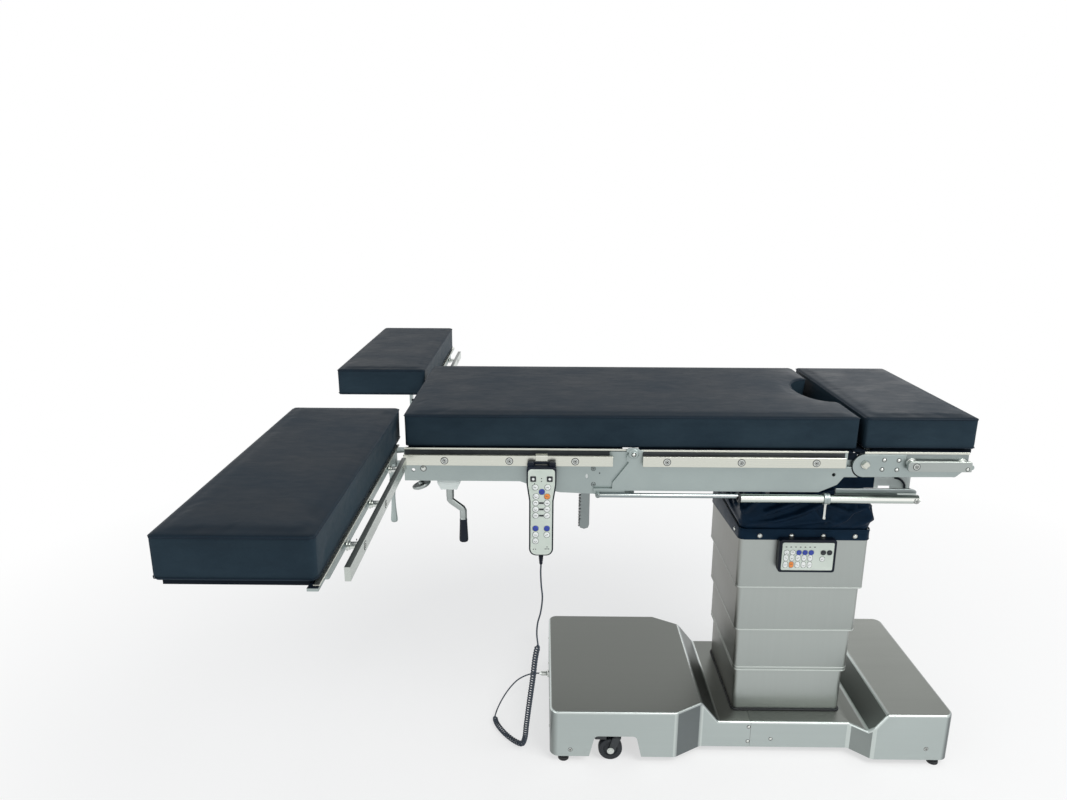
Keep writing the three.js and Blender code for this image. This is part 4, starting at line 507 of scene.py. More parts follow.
def prism(name, shape, axis, low, high, material, bevel=0.0, segments=2):
    rings = [[spot(axis, a, b, height) for a, b in shape] for height in (low, high)]
    obj = build(name, *loft(rings), material)
    if bevel:
        soften(obj, bevel, segments)
    return obj


def brick(name, x, y, z, material, bevel=0.5):
    shape = [(x[0], y[0]), (x[1], y[0]), (x[1], y[1]), (x[0], y[1])]
    return prism(name, shape, "z", z[0], z[1], material, bevel)


def span(side, inner, outer):
    """A stretch across the table on its near side, -1, or its far side, 1."""
    return sorted((side * inner, side * outer))


def unsharp(obj):
    """Smooth faces without a sharp edge."""
    obj.data.polygons.foreach_set("use_smooth", [True] * len(obj.data.polygons))
    for edge in obj.data.edges:
        edge.use_edge_sharp = False


def soften(obj, width, segments=2, angle=30):
    """Rounds the edges with a bevel of a width in millimetres."""
    bevel = obj.modifiers.new("bevel", "BEVEL")
    bevel.width = width * MM
    bevel.segments = segments
    bevel.limit_method = "ANGLE"
    bevel.angle_limit = math.radians(angle)
    bevel.use_clamp_overlap = True
    bevel.harden_normals = False
    obj.modifiers.new("normals", "WEIGHTED_NORMAL").keep_sharp = False
    unsharp(obj)


def applied(obj):
    """Makes the object's modifiers part of its mesh."""
    bpy.context.view_layer.update()
    graph = bpy.context.evaluated_depsgraph_get()
    mesh = bpy.data.meshes.new_from_object(obj.evaluated_get(graph))
    old = obj.data
    obj.modifiers.clear()
    obj.data = mesh
    bpy.data.meshes.remove(old)
    return obj


def boolean(obj, operation, *tools):
    for tool in tools:
        step = obj.modifiers.new("cut", "BOOLEAN")
        step.operation = operation
        step.object = tool
        step.solver = "EXACT"
    applied(obj)
    for tool in tools:
        bpy.data.objects.remove(tool)
    return obj


def body_of(node):
    parent = frame["nodes"][node].parent
    return next(name for name, empty in frame["bodies"].items() if empty == parent)


def dress(node, material, slot, bevel=0.7, cuts=(), faces=None, split=None):
    """A copy of a CAD node with its flat faces whole, holes cut and edges rounded. Faces picks a material for each
    face from its middle, and split divides the faces at an X first."""
    mesh = frame["nodes"][node].data.copy()
    mesh.materials.clear()
    for item in material if isinstance(material, list) else [material]:
        mesh.materials.append(item)
    obj = bpy.data.objects.new(node + "_skin", mesh)
    scene.collection.objects.link(obj)
    work = bmesh.new()
    work.from_mesh(mesh)
    bmesh.ops.remove_doubles(work, verts=work.verts, dist=2e-6)
    bmesh.ops.dissolve_limit(work, angle_limit=math.radians(0.6), verts=work.verts, edges=work.edges)
    if split is not None:
        bmesh.ops.bisect_plane(work, geom=[*work.verts, *work.edges, *work.faces], plane_co=(split * MM, 0, 0),
                               plane_no=(1, 0, 0))
    for face in work.faces:
        face.material_index = faces(face.calc_center_median() / MM) if faces else 0
    work.to_mesh(mesh)
    work.free()
    if cuts:
        boolean(obj, "DIFFERENCE", *cuts)
    soften(obj, bevel)
    put(obj, body_of(node), slot, node)


def paint(node, material):
    """A CAD node whose shape is right keeps it, with a better material."""
    slots = frame["nodes"][node].data.materials
    for i in range(len(slots)):
        slots[i] = material


# ---------------------------------------------------------------- fasteners
def turned(at, direction, profile, sides=6):
    """Rings of a turned piece; a third value of True in the profile makes that ring a polygon."""
    u, v, w = axes(direction)
    steps = 24
    rings = []
    for radius, height, *flat in profile:
        ring = []
        for i in range(steps):
            angle = 2 * math.pi * i / steps
            sector = 2 * math.pi / sides
            reach = radius * math.cos(sector / 2) / math.cos(angle % sector - sector / 2) if flat else radius
            ring.append(Vector(at) + w * height + (u * math.cos(angle) + v * math.sin(angle)) * reach)
        rings.append(ring)
    return rings


def joint_ring(name, at, direction, profile, body):
    """A thin dark ring that shades the joint round or on a fastener."""
    put(build(name, *loft(turned(at, direction, profile), True), HOLE, 30), body, "cord_rubber")


def socket_screw(name, at, direction, r, body, material=BRIGHT):
    """A flat-headed screw with a hexagon socket, sunk in a ring with a dark joint round it."""
    head = [(r * 0.98, 0), (r * 0.98, 0.5), (r * 0.86, 0.9), (r * 0.6, 0.9), (r * 0.56, 0.5), (r * 0.44, 0.5),
            (r * 0.4, 0.85), (r * 0.3, 0.85, True), (r * 0.3, 0.2, True)]
    put(build(name, *loft(turned(at, direction, head)), material, 30), body, "bright_steel")
    joint = [(r * 1.2, 0.02), (r * 1.2, 0.16), (r * 0.94, 0.16), (r * 0.94, 0.02)]
    joint_ring(name + "_joint", at, direction, joint, body)
    pit = [(r * 0.29, 0.1, True), (r * 0.29, 0.32, True), (r * 0.01, 0.32)]
    put(build(name + "_socket", *loft(turned(at, direction, pit)), HOLE, 30), body, "cord_rubber")
    groove = [(r * 0.66, 0.3), (r * 0.66, 0.93), (r * 0.52, 0.93), (r * 0.52, 0.3)]
    joint_ring(name + "_groove", at, direction, groove, body)


def dome(name, at, direction, radius, height, body):
    """A domed head over a thin collar."""
    collar = radius * 1.12
    profile = [(collar, 0), (collar, 0.5), (radius, 0.6)]
    profile += [(radius * math.cos(a), 0.6 + height * math.sin(a)) for a in (0.3, 0.7, 1.1, 1.4)]
    profile.append((0, 0.6 + height))
    shade = [(collar + 1.3, 0.02), (collar + 1.3, 0.2), (radius * 0.9, 0.2), (radius * 0.9, 0.02)]
    joint_ring(name + "_joint", at, direction, shade, body)
    put(lathe(name, at, direction, profile, BRIGHT, 24), body, "bright_steel")


def hex_bolt(name, at, direction, radius, height, body, material=BRIGHT, washer=1.35, sides=6):
    profile = [(radius * washer, 0), (radius * washer, 1), (radius * 1.02, 1.1, True), (radius, height - 0.6, True),
               (radius * 0.86, height, True)]
    put(build(name, *loft(turned(at, direction, profile, sides=sides)), material, 25), body, "bright_steel")


# ---------------------------------------------------------------- cord
def spline(route, count):
    """Points at even distances along three.js's centripetal Catmull-Rom curve."""
    points = [Vector(p) for p in route]
    points = [2 * points[0] - points[1], *points, 2 * points[-1] - points[-2]]
    fine = []
    for i in range(1, len(points) - 2):
        p0, p1, p2, p3 = points[i - 1:i + 3]
        t0 = (p1 - p0).length ** 0.5
        t1 = (p2 - p1).length ** 0.5
        t2 = (p3 - p2).length ** 0.5
        m1 = ((p1 - p0) / t0 - (p2 - p0) / (t0 + t1) + (p2 - p1) / t1) * t1
        m2 = ((p2 - p1) / t1 - (p3 - p1) / (t1 + t2) + (p3 - p2) / t2) * t1
        for k in range(80):
            s = k / 80
            fine.append(p1 * (2 * s ** 3 - 3 * s * s + 1) + m1 * (s ** 3 - 2 * s * s + s)
                        + p2 * (3 * s * s - 2 * s ** 3) + m2 * (s ** 3 - s * s))
    fine.append(points[-2])
    return even(fine, count)


def even(points, count):
    lengths = [0.0]
    for a, b in zip(points, points[1:]):
        lengths.append(lengths[-1] + (b - a).length)
    result, k = [], 0
    for i in range(count + 1):
        goal = lengths[-1] * i / count
        while k < len(points) - 2 and lengths[k + 1] < goal:
            k += 1
        share = (goal - lengths[k]) / max(1e-9, lengths[k + 1] - lengths[k])
        result.append(points[k].lerp(points[k + 1], min(1, max(0, share))))
    return result


UPPER = [(-676, -318, 613.7), (-676, -318, 609.7), (-676.5, -318, 595), (-675, -318, 560), (-672, -317, 525),
         (-676, -316, 485), (-683, -315, 455), (-685, -313, 425)]
CURLY = [(-682, -305, 388), (-688, -294, 350), (-695, -272, 270), (-704, -246, 180), (-712, -222, 95),
         (-717, -206, 40), (-725, -194, 15), (-744, -176, 8.4), (-775, -142, 8.4), (-799, -100, 8.4),
         (-806, -72, 8.4)]
LOWER = [(-800, -44, 14), (-786, -24, 34), (-765, -6, 58), (-740, 10, 76), (-710, 20, 86),
         (-682.9, 24, 88), (-678.9, 24, 88)]
CURLS, CURL_RADIUS, CORD_RADIUS, OPEN_SHARE, CURL_STEPS = 62, 5.6, 2.0, 0.2, 16


def cord_points():
    """The whole cord's middle line: a straight stretch, the curls and a stretch to the plug."""
    place = lambda route: [Vector((x + COLUMN, y, z)) for x, y, z in route]
    axis = spline(place(CURLY), 4000)
    steps = CURLS * CURL_STEPS
    curls = []
    normal = Vector((0, -1, 0))
    for i in range(steps + 1):
        share = i / steps
        back = 1 - share
        along = 1 - (back - OPEN_SHARE * math.sin(math.pi * back) * (1 - back) / math.pi)
        k = min(3999, max(1, round(along * 4000)))
        tangent = (axis[k + 1] - axis[k - 1]).normalized()
        normal = (normal - tangent * normal.dot(tangent)).normalized()
        side = tangent.cross(normal)
        rise = min(1, share * CURLS, back * CURLS) * CURL_RADIUS
        angle = 2 * math.pi * i / CURL_STEPS
        centre = axis[k] if 0 < i < steps else axis[0 if i == 0 else -1]
        curls.append(centre + normal * math.cos(angle) * rise + side * math.sin(angle) * rise)
    upper = spline([*place(UPPER), curls[0]], 100)
    lower = spline([curls[-1], *place(LOWER)], 44)
    return [*upper[:-1], *curls, *lower[1:]]


STRETCHES = (  # one stretch of the cord across each joint: its name, the bodies below and above, and its heights
    ("lead_over_back_joint", "centre", "back", 565, 614), ("lead_over_slide", "cradle", "centre", 470, 565),
    ("lead_over_side_tilt", "yoke", "cradle", 430, 470), ("lead_over_end_tilt", "column_top", "yoke", 360, 430),
    ("hand_control_cord", "base", "column_top", 50, 360))
cord_line = cord_points()
cords, begin = [], 0
for name, below, above, low, high in STRETCHES:
    end = len(cord_line) - 1
    if below != "base":
        end = next(i for i in range(begin + 8, end) if cord_line[i].z < low)
    line = cord_line[begin:end + 1]
    cord = tube(name, line, CORD_RADIUS, CORD, 8, 80)
    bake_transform(cord)
    cords.append((cord, line))
    begin = end
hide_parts("cord_upper")
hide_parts("curly_cord", "cord_lower")

plug_end = Vector((-222.1, 24, 88))
plug = lathe("cord_plug_body", plug_end, (-1, 0, 0),
             [(4, 0), (6.6, 0.4), (6.9, 1.2), (6.9, 6), (6.2, 6.6), (6.2, 8), (6.9, 8.6), (6.9, 17), (6.2, 18.4),
              (4.4, 20.5), (3.4, 23.6), (2.1, 24)], BRIGHT, 28, angle=30)
put(plug, "base", "cord_rubber", "cord_plug")
for k in range(5):
    ring = lathe(f"cord_plug_grip_{k}", plug_end + Vector((-9.6 - 1.5 * k, 0, 0)), (-1, 0, 0),
                 [(6.7, 0), (7.0, 0.25), (7.0, 0.7), (6.7, 0.95)], BRIGHT, 28)
    put(ring, "base", "cord_rubber")
relief = lathe("cord_relief", (-243.5, -318, 641), (0, 0, -1),
               [(6, -3), (6, 0), (5.9, 3), (4.9, 3.6), (4.9, 5), (5.6, 5.6), (5.5, 8), (4.6, 8.6), (4.6, 10),
                (5.2, 10.6), (5.1, 13), (4.2, 13.6), (4.2, 15), (4.8, 15.6), (4.6, 18), (3.8, 18.6), (3.8, 20),
                (4.2, 20.6), (3.9, 25), (2.9, 27), (2.0, 27)], CASE, 24, angle=30)
put(relief, "back", "case_plastic")
for cord, line in cords:
    last = cord is cords[-1][0]

# ---------------------------------------------------------------- stage and light
def seen_share(tree):
    """Where a ray of the camera, a reflection or glass looks: 1 there, and 0 for light on the object."""
    node = tree.nodes.new("ShaderNodeLightPath")
    total = node.outputs["Is Camera Ray"]
    for kind in ("Is Glossy Ray", "Is Transmission Ray"):
        highest = tree.nodes.new("ShaderNodeMath")
        highest.operation = "MAXIMUM"
        tree.links.new(total, highest.inputs[0])
        tree.links.new(node.outputs[kind], highest.inputs[1])
        total = highest.outputs[0]
    return total


def mixed_shader(tree, share, first, second, output):
    mix = tree.nodes.new("ShaderNodeMixShader")
    for i, source in enumerate((share, first.outputs[0], second.outputs[0])):
        tree.links.new(source, mix.inputs[i])
    tree.links.new(mix.outputs[0], output.inputs[0])


# the floor turns into the white background away from the object's shadow
floor_surface = Surface("floor", 0.9)
floor_surface.tint(floor_surface.noise(1.5, 2), [(0.0, "f2f2f2"), (1.0, "f7f7f7")])
glow = floor_surface.node("Emission", Color=(1, 1, 1, 1), Strength=1.0)
distance = floor_surface.node("VectorMath")
distance.operation = "LENGTH"
floor_surface.link(floor_surface.place, distance.inputs[0])
share = floor_surface.node("Math")
share.operation = "MULTIPLY"
floor_surface.link(seen_share(floor_surface.tree), share.inputs[0])
floor_surface.link(floor_surface.spread(distance.outputs["Value"], 0.9, 2.6, (0.62, 1.0)), share.inputs[1])
mixed_shader(floor_surface.tree, share.outputs[0], floor_surface.shader, glow, floor_surface.output)
FLOOR_HALF, FLOOR_TOP = 20000, -0.4
floor = build("floor", [(x * FLOOR_HALF, y * FLOOR_HALF, FLOOR_TOP) for x, y in ((-1, -1), (1, -1), (1, 1), (-1, 1))],
              [(0, 1, 2, 3)], floor_surface.material)

world = bpy.data.worlds.new("studio")
scene.world = world
world.use_nodes = True
tree = world.node_tree
tree.nodes.clear()
lit, white = [tree.nodes.new("ShaderNodeBackground") for _ in range(2)]
lit.inputs["Color"].default_value = (0.93, 0.97, 1.0, 1)
lit.inputs["Strength"].default_value = 0.52
white.inputs["Color"].default_value = (1, 1, 1, 1)
white.inputs["Strength"].default_value = 1.0
mixed_shader(tree, seen_share(tree), lit, white, tree.nodes.new("ShaderNodeOutputWorld"))
scene.view_settings.view_transform = "Standard"


def lamp(name, place, aim, size, power, tone=(1, 1, 1)):
    light = bpy.data.lights.new(name, "AREA")
    light.shape = "RECTANGLE"
    light.size, light.size_y = size
    light.energy = power
    light.color = tone
    obj = bpy.data.objects.new(name, light)
    scene.collection.objects.link(obj)
    obj.location = place
    obj.rotation_euler = (Vector(aim) - Vector(place)).to_track_quat("-Z", "Y").to_euler()


lamp("key_light", (1.9, -2.0, 3.4), (0.2, 0, 0.5), (2.4, 1.8), 88, (1.0, 0.99, 0.97))
lamp("fill_light", (-3.2, -2.4, 1.6), (0, 0, 0.6), (2.4, 2.0), 20, (0.95, 0.98, 1.0))
lamp("sheen_light", (2.3, 3.6, 2.1), (0.5, 0, 0.9), (1.5, 1.2), 10)


# ---------------------------------------------------------------- base covers
def shrink(shape, depth):
    """A counter-clockwise outline moved inwards, corner by corner."""
    result = []
    for i, here in enumerate(shape):
        before, after = Vector(shape[i - 1]), Vector(shape[(i + 1) % len(shape)])
        p = (Vector(here) - before).normalized()
        q = (after - Vector(here)).normalized()
        n1, n2 = Vector((-p.y, p.x)), Vector((-q.y, q.x))
        result.append(tuple(Vector(here) + (n1 + n2) / (1 + n1.dot(n2)) * depth))
    return result


BASE_PLAN = rounded([
    (-216.5, -245, 25), (116.5, -245), (190.5, -200), (589.5, -200), (638.5, -245), (842.5, -245, 25),
    (842.5, 245, 25), (638.5, 245), (589.5, 200), (190.5, 200), (116.5, 245), (-216.5, 245, 25)], 8)
BASE_SIDE = [(-300, 0), (930, 0), (930, 153), (668.5, 153), (625.5, 95), (237.5, 95), (190.5, 153), (-300, 153)]


def base_form(depth, name):
    plan = shrink(BASE_PLAN, depth) if depth else BASE_PLAN
    side = shrink(BASE_SIDE, depth) if depth else BASE_SIDE
    form = prism(name, plan, "z", -5, 200, [COVER, COVER_FOLD_HIGHLIGHT])
    return boolean(form, "INTERSECT", prism("side", side, "y", -300, 300, COVER))


def arch(side):
    """The caster's opening in a side of the left block."""
    shape = rounded([(-115, 5), (30, 5), (12.5, 80, 12), (-97.5, 80, 12)], 8)
    return prism("arch", shape, "y", side * 225, side * 260, COVER)


covers = base_form(0, "covers")
soften(covers, 5.5, 4, 24)
# the bevel's faces take the lighter fold steel, a painted highlight along the bends
covers.modifiers["bevel"].material = 1
applied(covers)
boolean(covers, "DIFFERENCE", base_form(3, "hollow"))
boolean(covers, "DIFFERENCE", brick("under", (-400, 1000), (-300, 300), (-50, 18), COVER, 0))
boolean(covers, "DIFFERENCE", prism("well", rectangle(286, 579, -146.5, 146.5, 12), "z", 60, 160, COVER))
boolean(covers, "DIFFERENCE", arch(-1), arch(1),
        lathe("socket", (-240, 24, 88), (1, 0, 0), [(8, 0), (8, 40)], COVER, 24))
for part, low, high in (("base_cover_left", -400, 325.1), ("base_cover_right", 325.9, 1000)):
    cover = covers.copy()
    cover.data = covers.data.copy()
    cover.name = part + "_sheet"
    scene.collection.objects.link(cover)
    boolean(cover, "INTERSECT", brick("half", (low, high), (-300, 300), (-10, 200), COVER, 0))
    smooth(cover, 28)
    put(cover, "base", "base_cover", part)
bpy.data.objects.remove(covers)
for i, (x, z) in enumerate(((320.1, 80), (320.1, 35), (381.5, 43))):
    for side in (-1, 1):
        dome(f"cover_screw_{i}_{side + 1}", (x, side * 200, z), (0, side, 0), 3.6, 1.6, "base")
for i, (x, z) in enumerate(((-162.2, 38), (778.5, 52))):
    for side in (-1, 1):
        socket_screw(f"block_screw_{i}_{side + 1}", (x, side * 245, z), (0, side, 0), 5, "base")
for i, (y, z) in enumerate(((-150, 128), (-150, 40), (150, 128), (150, 40))):
    dome(f"end_screw_{i}", (-216.5, y, z), (-1, 0, 0), 3.6, 1.6, "base")
    dome(f"head_end_screw_{i}", (842.5, y, z), (1, 0, 0), 3.6, 1.6, "base")
seal_line = [(a, b, 96.2) for a, b in rectangle(285.2, 579.8, -146.8, 146.8, 13, 8)]
put(ring_tube("column_seal", seal_line, 2.6, SEAL, 10), "base", "cord_rubber")
flange = lathe("socket_flange", (-217.2, 24, 88), (-1, 0, 0),
               [(7.3, 0), (11.5, 0), (11.5, 2.6), (10.6, 3.6), (7.9, 3.6), (7.3, 3)], BRIGHT, 32, closed=True)
put(flange, "base", "bright_steel")
for x in (-179.5, 808.5):
    for y in (-228, 228):
        foot = lathe(f"foot_{'l' if x < 0 else 'r'}{'n' if y < 0 else 'f'}", (x, y, 0), (0, 0, 1),
                     [(11.2, 0.1), (14, 0.1), (14.5, 0.8), (14.2, 7), (12.6, 9), (11.2, 9)], SEAL, 28, closed=True)
        put(foot, "base", "wheel_rubber")
dress("base_chassis", CHASSIS, "chassis", 0.8)
dress("hydraulic_unit", CHASSIS, "chassis", 1.2)
paint("lift_cylinder", SATIN_DARK)
paint("lift_ram", BRIGHT)
paint("handset_socket", BRIGHT)

# ---------------------------------------------------------------- casters
TYRE_HALF = [(19, 9.5), (24, 10.6), (28.5, 10.9), (30.6, 9.8), (31.6, 7.6), (32, 3)]
HUB_HALF = [(5.4, 10), (8, 10), (9, 8.4), (17, 6.6), (19.2, 8.8)]
AXLE = 32.6  # the height of the wheels' axles
for corner, x, y in (("left_near", -54.5, -226), ("left_far", -54.5, 226),
                     ("right_near", 737.5, -185), ("right_far", 737.5, 185)):
    outer = -1 if y < 0 else 1
    for name, half, steps, nodes in (("tyre", TYRE_HALF, 48, [f"caster_wheel_{corner}"]), ("hub", HUB_HALF, 40, [])):
        profile = [(radius, -height) for radius, height in half] + half[::-1]
        wheel = lathe(f"{name}_{corner}", (x, y, AXLE), (0, outer, 0), profile, TYRE, steps, closed=True)
        put(wheel, f"wheel_{corner}", "wheel_rubber", *nodes)
    dress(f"caster_fork_{corner}", CHASSIS, "chassis", 0.8)
    hex_bolt(f"caster_bolt_{corner}", (x, y + outer * 15.2, AXLE), (0, outer, 0), 7, 4.5, f"swivel_{corner}")
    if "left" in corner:
        shape = rounded([(-66, 67), (-66, 86), (-104, 86), (-104, 80, 4), (-96, 67, 4)], 5)
        housing = prism(f"caster_housing_{corner}", shape, "y", *span(outer, 200, 241.5), CHASSIS, 1.2)
        put(housing, "base", "chassis")


# ---------------------------------------------------------------- column covers
def shell(name, half, corner, wall, low, high, material, edge=0.7):
    """A rounded rectangular sleeve round the column, with softened rims."""
    def ring(inset, z):
        a, b = half[0] - inset, half[1] - inset
        return [(a, b, z) for a, b in rectangle(COLUMN - a, COLUMN + a, -b, b, max(0.5, corner - inset), 8)]
    rings = [ring(0, low + edge), ring(0, high - edge), ring(edge * 0.3, high - edge * 0.3), ring(edge, high),
             ring(wall, high), ring(wall, low), ring(edge, low), ring(edge * 0.3, low + edge * 0.3)]
    return build(name, *loft(rings, True), material, 40)


for number, half, low, high, body in (
        (1, (146, 145), 70.3, 247, "base"), (2, (152.5, 151.5), 221, 367, "stage_2"),
        (3, (159, 158), 347, 497, "stage_3"), (4, (165.5, 164.5), 475, 640, "column_top")):
    cover = shell(f"column_sleeve_{number}", half, 13, 2, low, high, COLUMN_STEEL)
    put(cover, body, "column_cover", f"column_cover_{number}")
    if number > 1:
        # the hem rings are real rims, and their lighter steel is a painted highlight along the covers' lower edges
        for i, z in enumerate((low + 0.2, low + 9) if number == 2 else (low + 0.2,)):
            hem = shell(f"column_hem_{number}_{i}", (half[0] + 0.6, half[1] + 0.6), 13.6, 1.1, z, z + 3.4, HEM_HIGHLIGHT, 0.3)
            put(hem, body, "column_cover")
        wiper = shell(f"column_wiper_{number}", (half[0] - 2.1, half[1] - 2.1), 11, 3.6, low + 1.5, low + 7, SEAL)
        put(wiper, body, "cord_rubber")
paint("column_head", SATIN_DARK)

# ---------------------------------------------------------------- cloth sleeve under the top
AROUND, UP = 416, 56
SLEEVE_LOW, SLEEVE_HIGH = 640.6, 785.2
NEAR_FOLDS = [
    ([(18, 652), (80, 662), (150, 686), (200, 711), (236, 702), (264, 689), (310, 702), (345, 715)], 6.5, 7.5),
    ([(40, 647), (110, 650), (170, 659), (215, 667), (244, 655)], 4.5, 6.5),
    ([(60, 686), (125, 710), (180, 734), (232, 745)], 5.5, 8),
    ([(228, 650), (258, 671), (287, 706), (300, 748)], 5.5, 7),
    ([(176, 702), (188, 681), (208, 661)], 4.5, 6),
    ([(288, 648), (318, 668), (335, 702)], 5.5, 7),
    ([(6, 690), (38, 722), (60, 760)], 5, 8),
    ([(140, 741), (205, 763), (275, 753)], 4.5, 8),
    ([(250, 768), (290, 735), (325, 722)], 4.5, 7)]


def fold_height(along, z, girth):
    """How far the cloth's folds stand out at places round the sleeve and up it."""
    result = np.zeros_like(along)
    for face, mirror in ((0, False), (1, True), (2, False), (3, True)):
        start = face * girth / 4
        for line, depth, width in NEAR_FOLDS:
            nearest = np.full_like(along, 1e9)
            points = [((girth / 4 - a if mirror else a) + start, b) for a, b in line]
            for (a0, b0), (a1, b1) in zip(points, points[1:]):
                length = math.hypot(a1 - a0, b1 - b0)
                share = np.clip(((along - a0) * (a1 - a0) + (z - b0) * (b1 - b0)) / length ** 2, 0, 1)
                gap = np.hypot(along - a0 - share * (a1 - a0), z - b0 - share * (b1 - b0))
                nearest = np.minimum(nearest, gap)
            result = np.maximum(result, depth * np.exp(-(nearest / width) ** 2)) - 0.12 * depth * np.exp(
                -((nearest - 1.9 * width) / width) ** 2)
    return result


HALF_X, HALF_Y, GIRTH = 163.3, 162.3, 1300.0
ring = [Vector((a, b, 0)) for a, b in rectangle(-HALF_X, HALF_X, -HALF_Y, HALF_Y, 16, 10)]
ring = even([*ring, ring[0]], AROUND)[:-1]
corner = min(range(AROUND), key=lambda i: (ring[i] - Vector((-HALF_X, -HALF_Y, 0))).length)
ring = ring[corner:] + ring[:corner]
outside = []
for k in range(UP + 1):
    t = k / UP
    z = SLEEVE_LOW + (SLEEVE_HIGH - SLEEVE_LOW) * t
    stand = fold_height(np.arange(AROUND) * GIRTH / AROUND, np.full(AROUND, z), GIRTH)
    stand = stand * 1.6 * min(1, 5 * t) * min(1, 6 * (1 - t) + 0.1)
    row = []
    for p, out in zip(ring, stand):
        side = p.x / HALF_X
        narrow = 1 - (0.055 + 0.105 * max(0, side)) * t ** 1.5 - 0.06 * t ** 3
        slump = (4 + 10 * max(0, side)) * math.sin(math.pi * min(1, t * 1.5)) * (1 - t)
        x, y = p.x * narrow, p.y * (1 - 0.15 * t ** 1.6)
        length = math.hypot(x, y)
        push = out + slump
        row.append(Vector((COLUMN + x + x / length * push, y + y / length * push, z)))
    outside.append(row)
# two stretches of the sleeve, split at its middle row, one over each tilting joint
for name, first, last, below, above in (("sleeve", 0, UP // 2, "column_top", "yoke"),
                                        ("sleeve_top", UP // 2, UP, "yoke", "cradle")):
    outer = outside[first:last + 1]
    inner = [[Vector((COLUMN + (p.x - COLUMN) * 0.985, p.y * 0.985, p.z)) for p in row] for row in reversed(outer)]
    cloth = build(name, *loft([*outer, *inner], True), CLOTH, 75)
    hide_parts("bellows")
    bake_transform(cloth)


def band_bottom(y):
    """The band's lower edge: deep behind, shallow in front, straight along both sides."""
    return 612 + (584 - 612) * (y + 167) / 334


def band_row(half, corner, height=None, above=0.0):
    """Points round the band at a height, or that far above its lower edge."""
    return [(a, b, height or band_bottom(b) + above)
            for a, b in rectangle(COLUMN - half, COLUMN + half, 1 - half, half - 1, corner, 8)]


rows = [band_row(168.4, 17, above=0.6), band_row(168.4, 17, 641.4), band_row(167.4, 14, 642),
        band_row(166, 12.5, 642), band_row(166, 12.5)]
put(build("sleeve_band", *loft(rows, True), BAND, 60), "column_top", "bellows_cloth", "bellows_band")
for edge, line in (("top", band_row(168.1, 14.6, 637.5)), ("bottom", band_row(168.1, 14.6, above=4))):
    put(ring_tube(f"band_hem_{edge}", line, 0.8, BAND, 6), "column_top", "bellows_cloth")
SNAP = (5, 2.6, "column_top")  # radius, height and body of a snap fastener
for i, x in enumerate((316.7, 397.7, 478.8, 559.9)):
    dome(f"snap_near_{i}", (x, -168, 624), (0, -1, 0), *SNAP)
    dome(f"snap_far_{i}", (x, 168, 600), (0, 1, 0), *SNAP)
dome("snap_left_0", (COLUMN - 168.5, -120, band_bottom(-120) + 14), (-1, 0, 0), *SNAP)
for i, y in enumerate((-120, -40, 40, 120)):
    dome(f"snap_right_{i}", (COLUMN + 168.5, y, band_bottom(y) + 14), (1, 0, 0), *SNAP)

# ---------------------------------------------------------------- frames under the top
HINGE = (511.5, 863)  # the head section's hinge in X and Z
DISC = (511.5, 857)  # the middle of the head plate's round end


def arc(middle, radius, first, last, steps=12):
    """Points round a place, between two angles in degrees."""
    turns = [math.radians(first + (last - first) * k / steps) for k in range(steps + 1)]
    return [(middle[0] + radius * math.cos(a), middle[1] + radius * math.sin(a)) for a in turns]


def small_hole(name, at, direction, body, radius=1.7, low=-1, high=0.06, steps=16):
    """A dark dot that stands for a drilled hole."""
    profile = [(0, low), (radius, low), (radius, high), (0, high)]
    put(lathe(name, at, direction, profile, HOLE, steps), body, "satin_aluminium")


paint("tilt_yoke", SATIN_DARK)
dress("tilt_cradle", [BRACKET, BAND], "pale_paint", 1.2, faces=lambda c: 1 if c.x < 556.5 else 0, split=557)
lead = tube("drive_lead", spline([(603, -246.5, 813), (612, -249, 812), (621, -249, 806), (628, -248, 797),
                                  (630, -246.5, 788)], 16), 2.6, CASE, 12)
put(lead, "cradle", "cord_rubber")
# dark covers close the joint under the head pad: the centre's flap passes over the head's own cover
for name, shape, half, body in (
        ("joint_cover", [(466, 890.6), (466, 877), *arc(HINGE, 27.8, 149, 104)], 263, "centre"),
        ("joint_flap", [(484, 890.6), (484, 888.6), *arc(HINGE, 27.8, 111, 104, 3)], 281, "centre"),
        ("hinge_cover", [*arc(HINGE, 27, 70, 127), *arc(HINGE, 18, 127, 70)], 274.6, "head")):
    put(prism(name, shape, "y", -half, half, PAD_BASE), body, "chassis")
board = lambda c: 1 if c.z > 883 and abs(c.y) < 264.5 else 0
dress("centre_frame", [SATIN, PAD_BASE], "satin_aluminium", 1.0, faces=board, cuts=[
    brick("tool", (490, 535), span(side, 288.9, 300), (840, 880.5), SATIN, 0) for side in (-1, 1)])
dress("back_frame", [SATIN, PAD_BASE], "satin_aluminium", 1.0, faces=board, cuts=[
    lathe("tool", (-136.5, side * 278 + 15, 824), (0, -1, 0), [(3.4, 0), (3.4, 30)], HOLE, 24, scale=(1, 1.6))
    for side in (-1, 1)])
dress("head_frame", [SATIN, PAD_BASE], "satin_aluminium", 0.8, faces=board)
dress("kidney_bridge", SATIN_DARK, "satin_aluminium", 1.0)
dress("crank_housing", BRACKET, "pale_paint", 1.6)
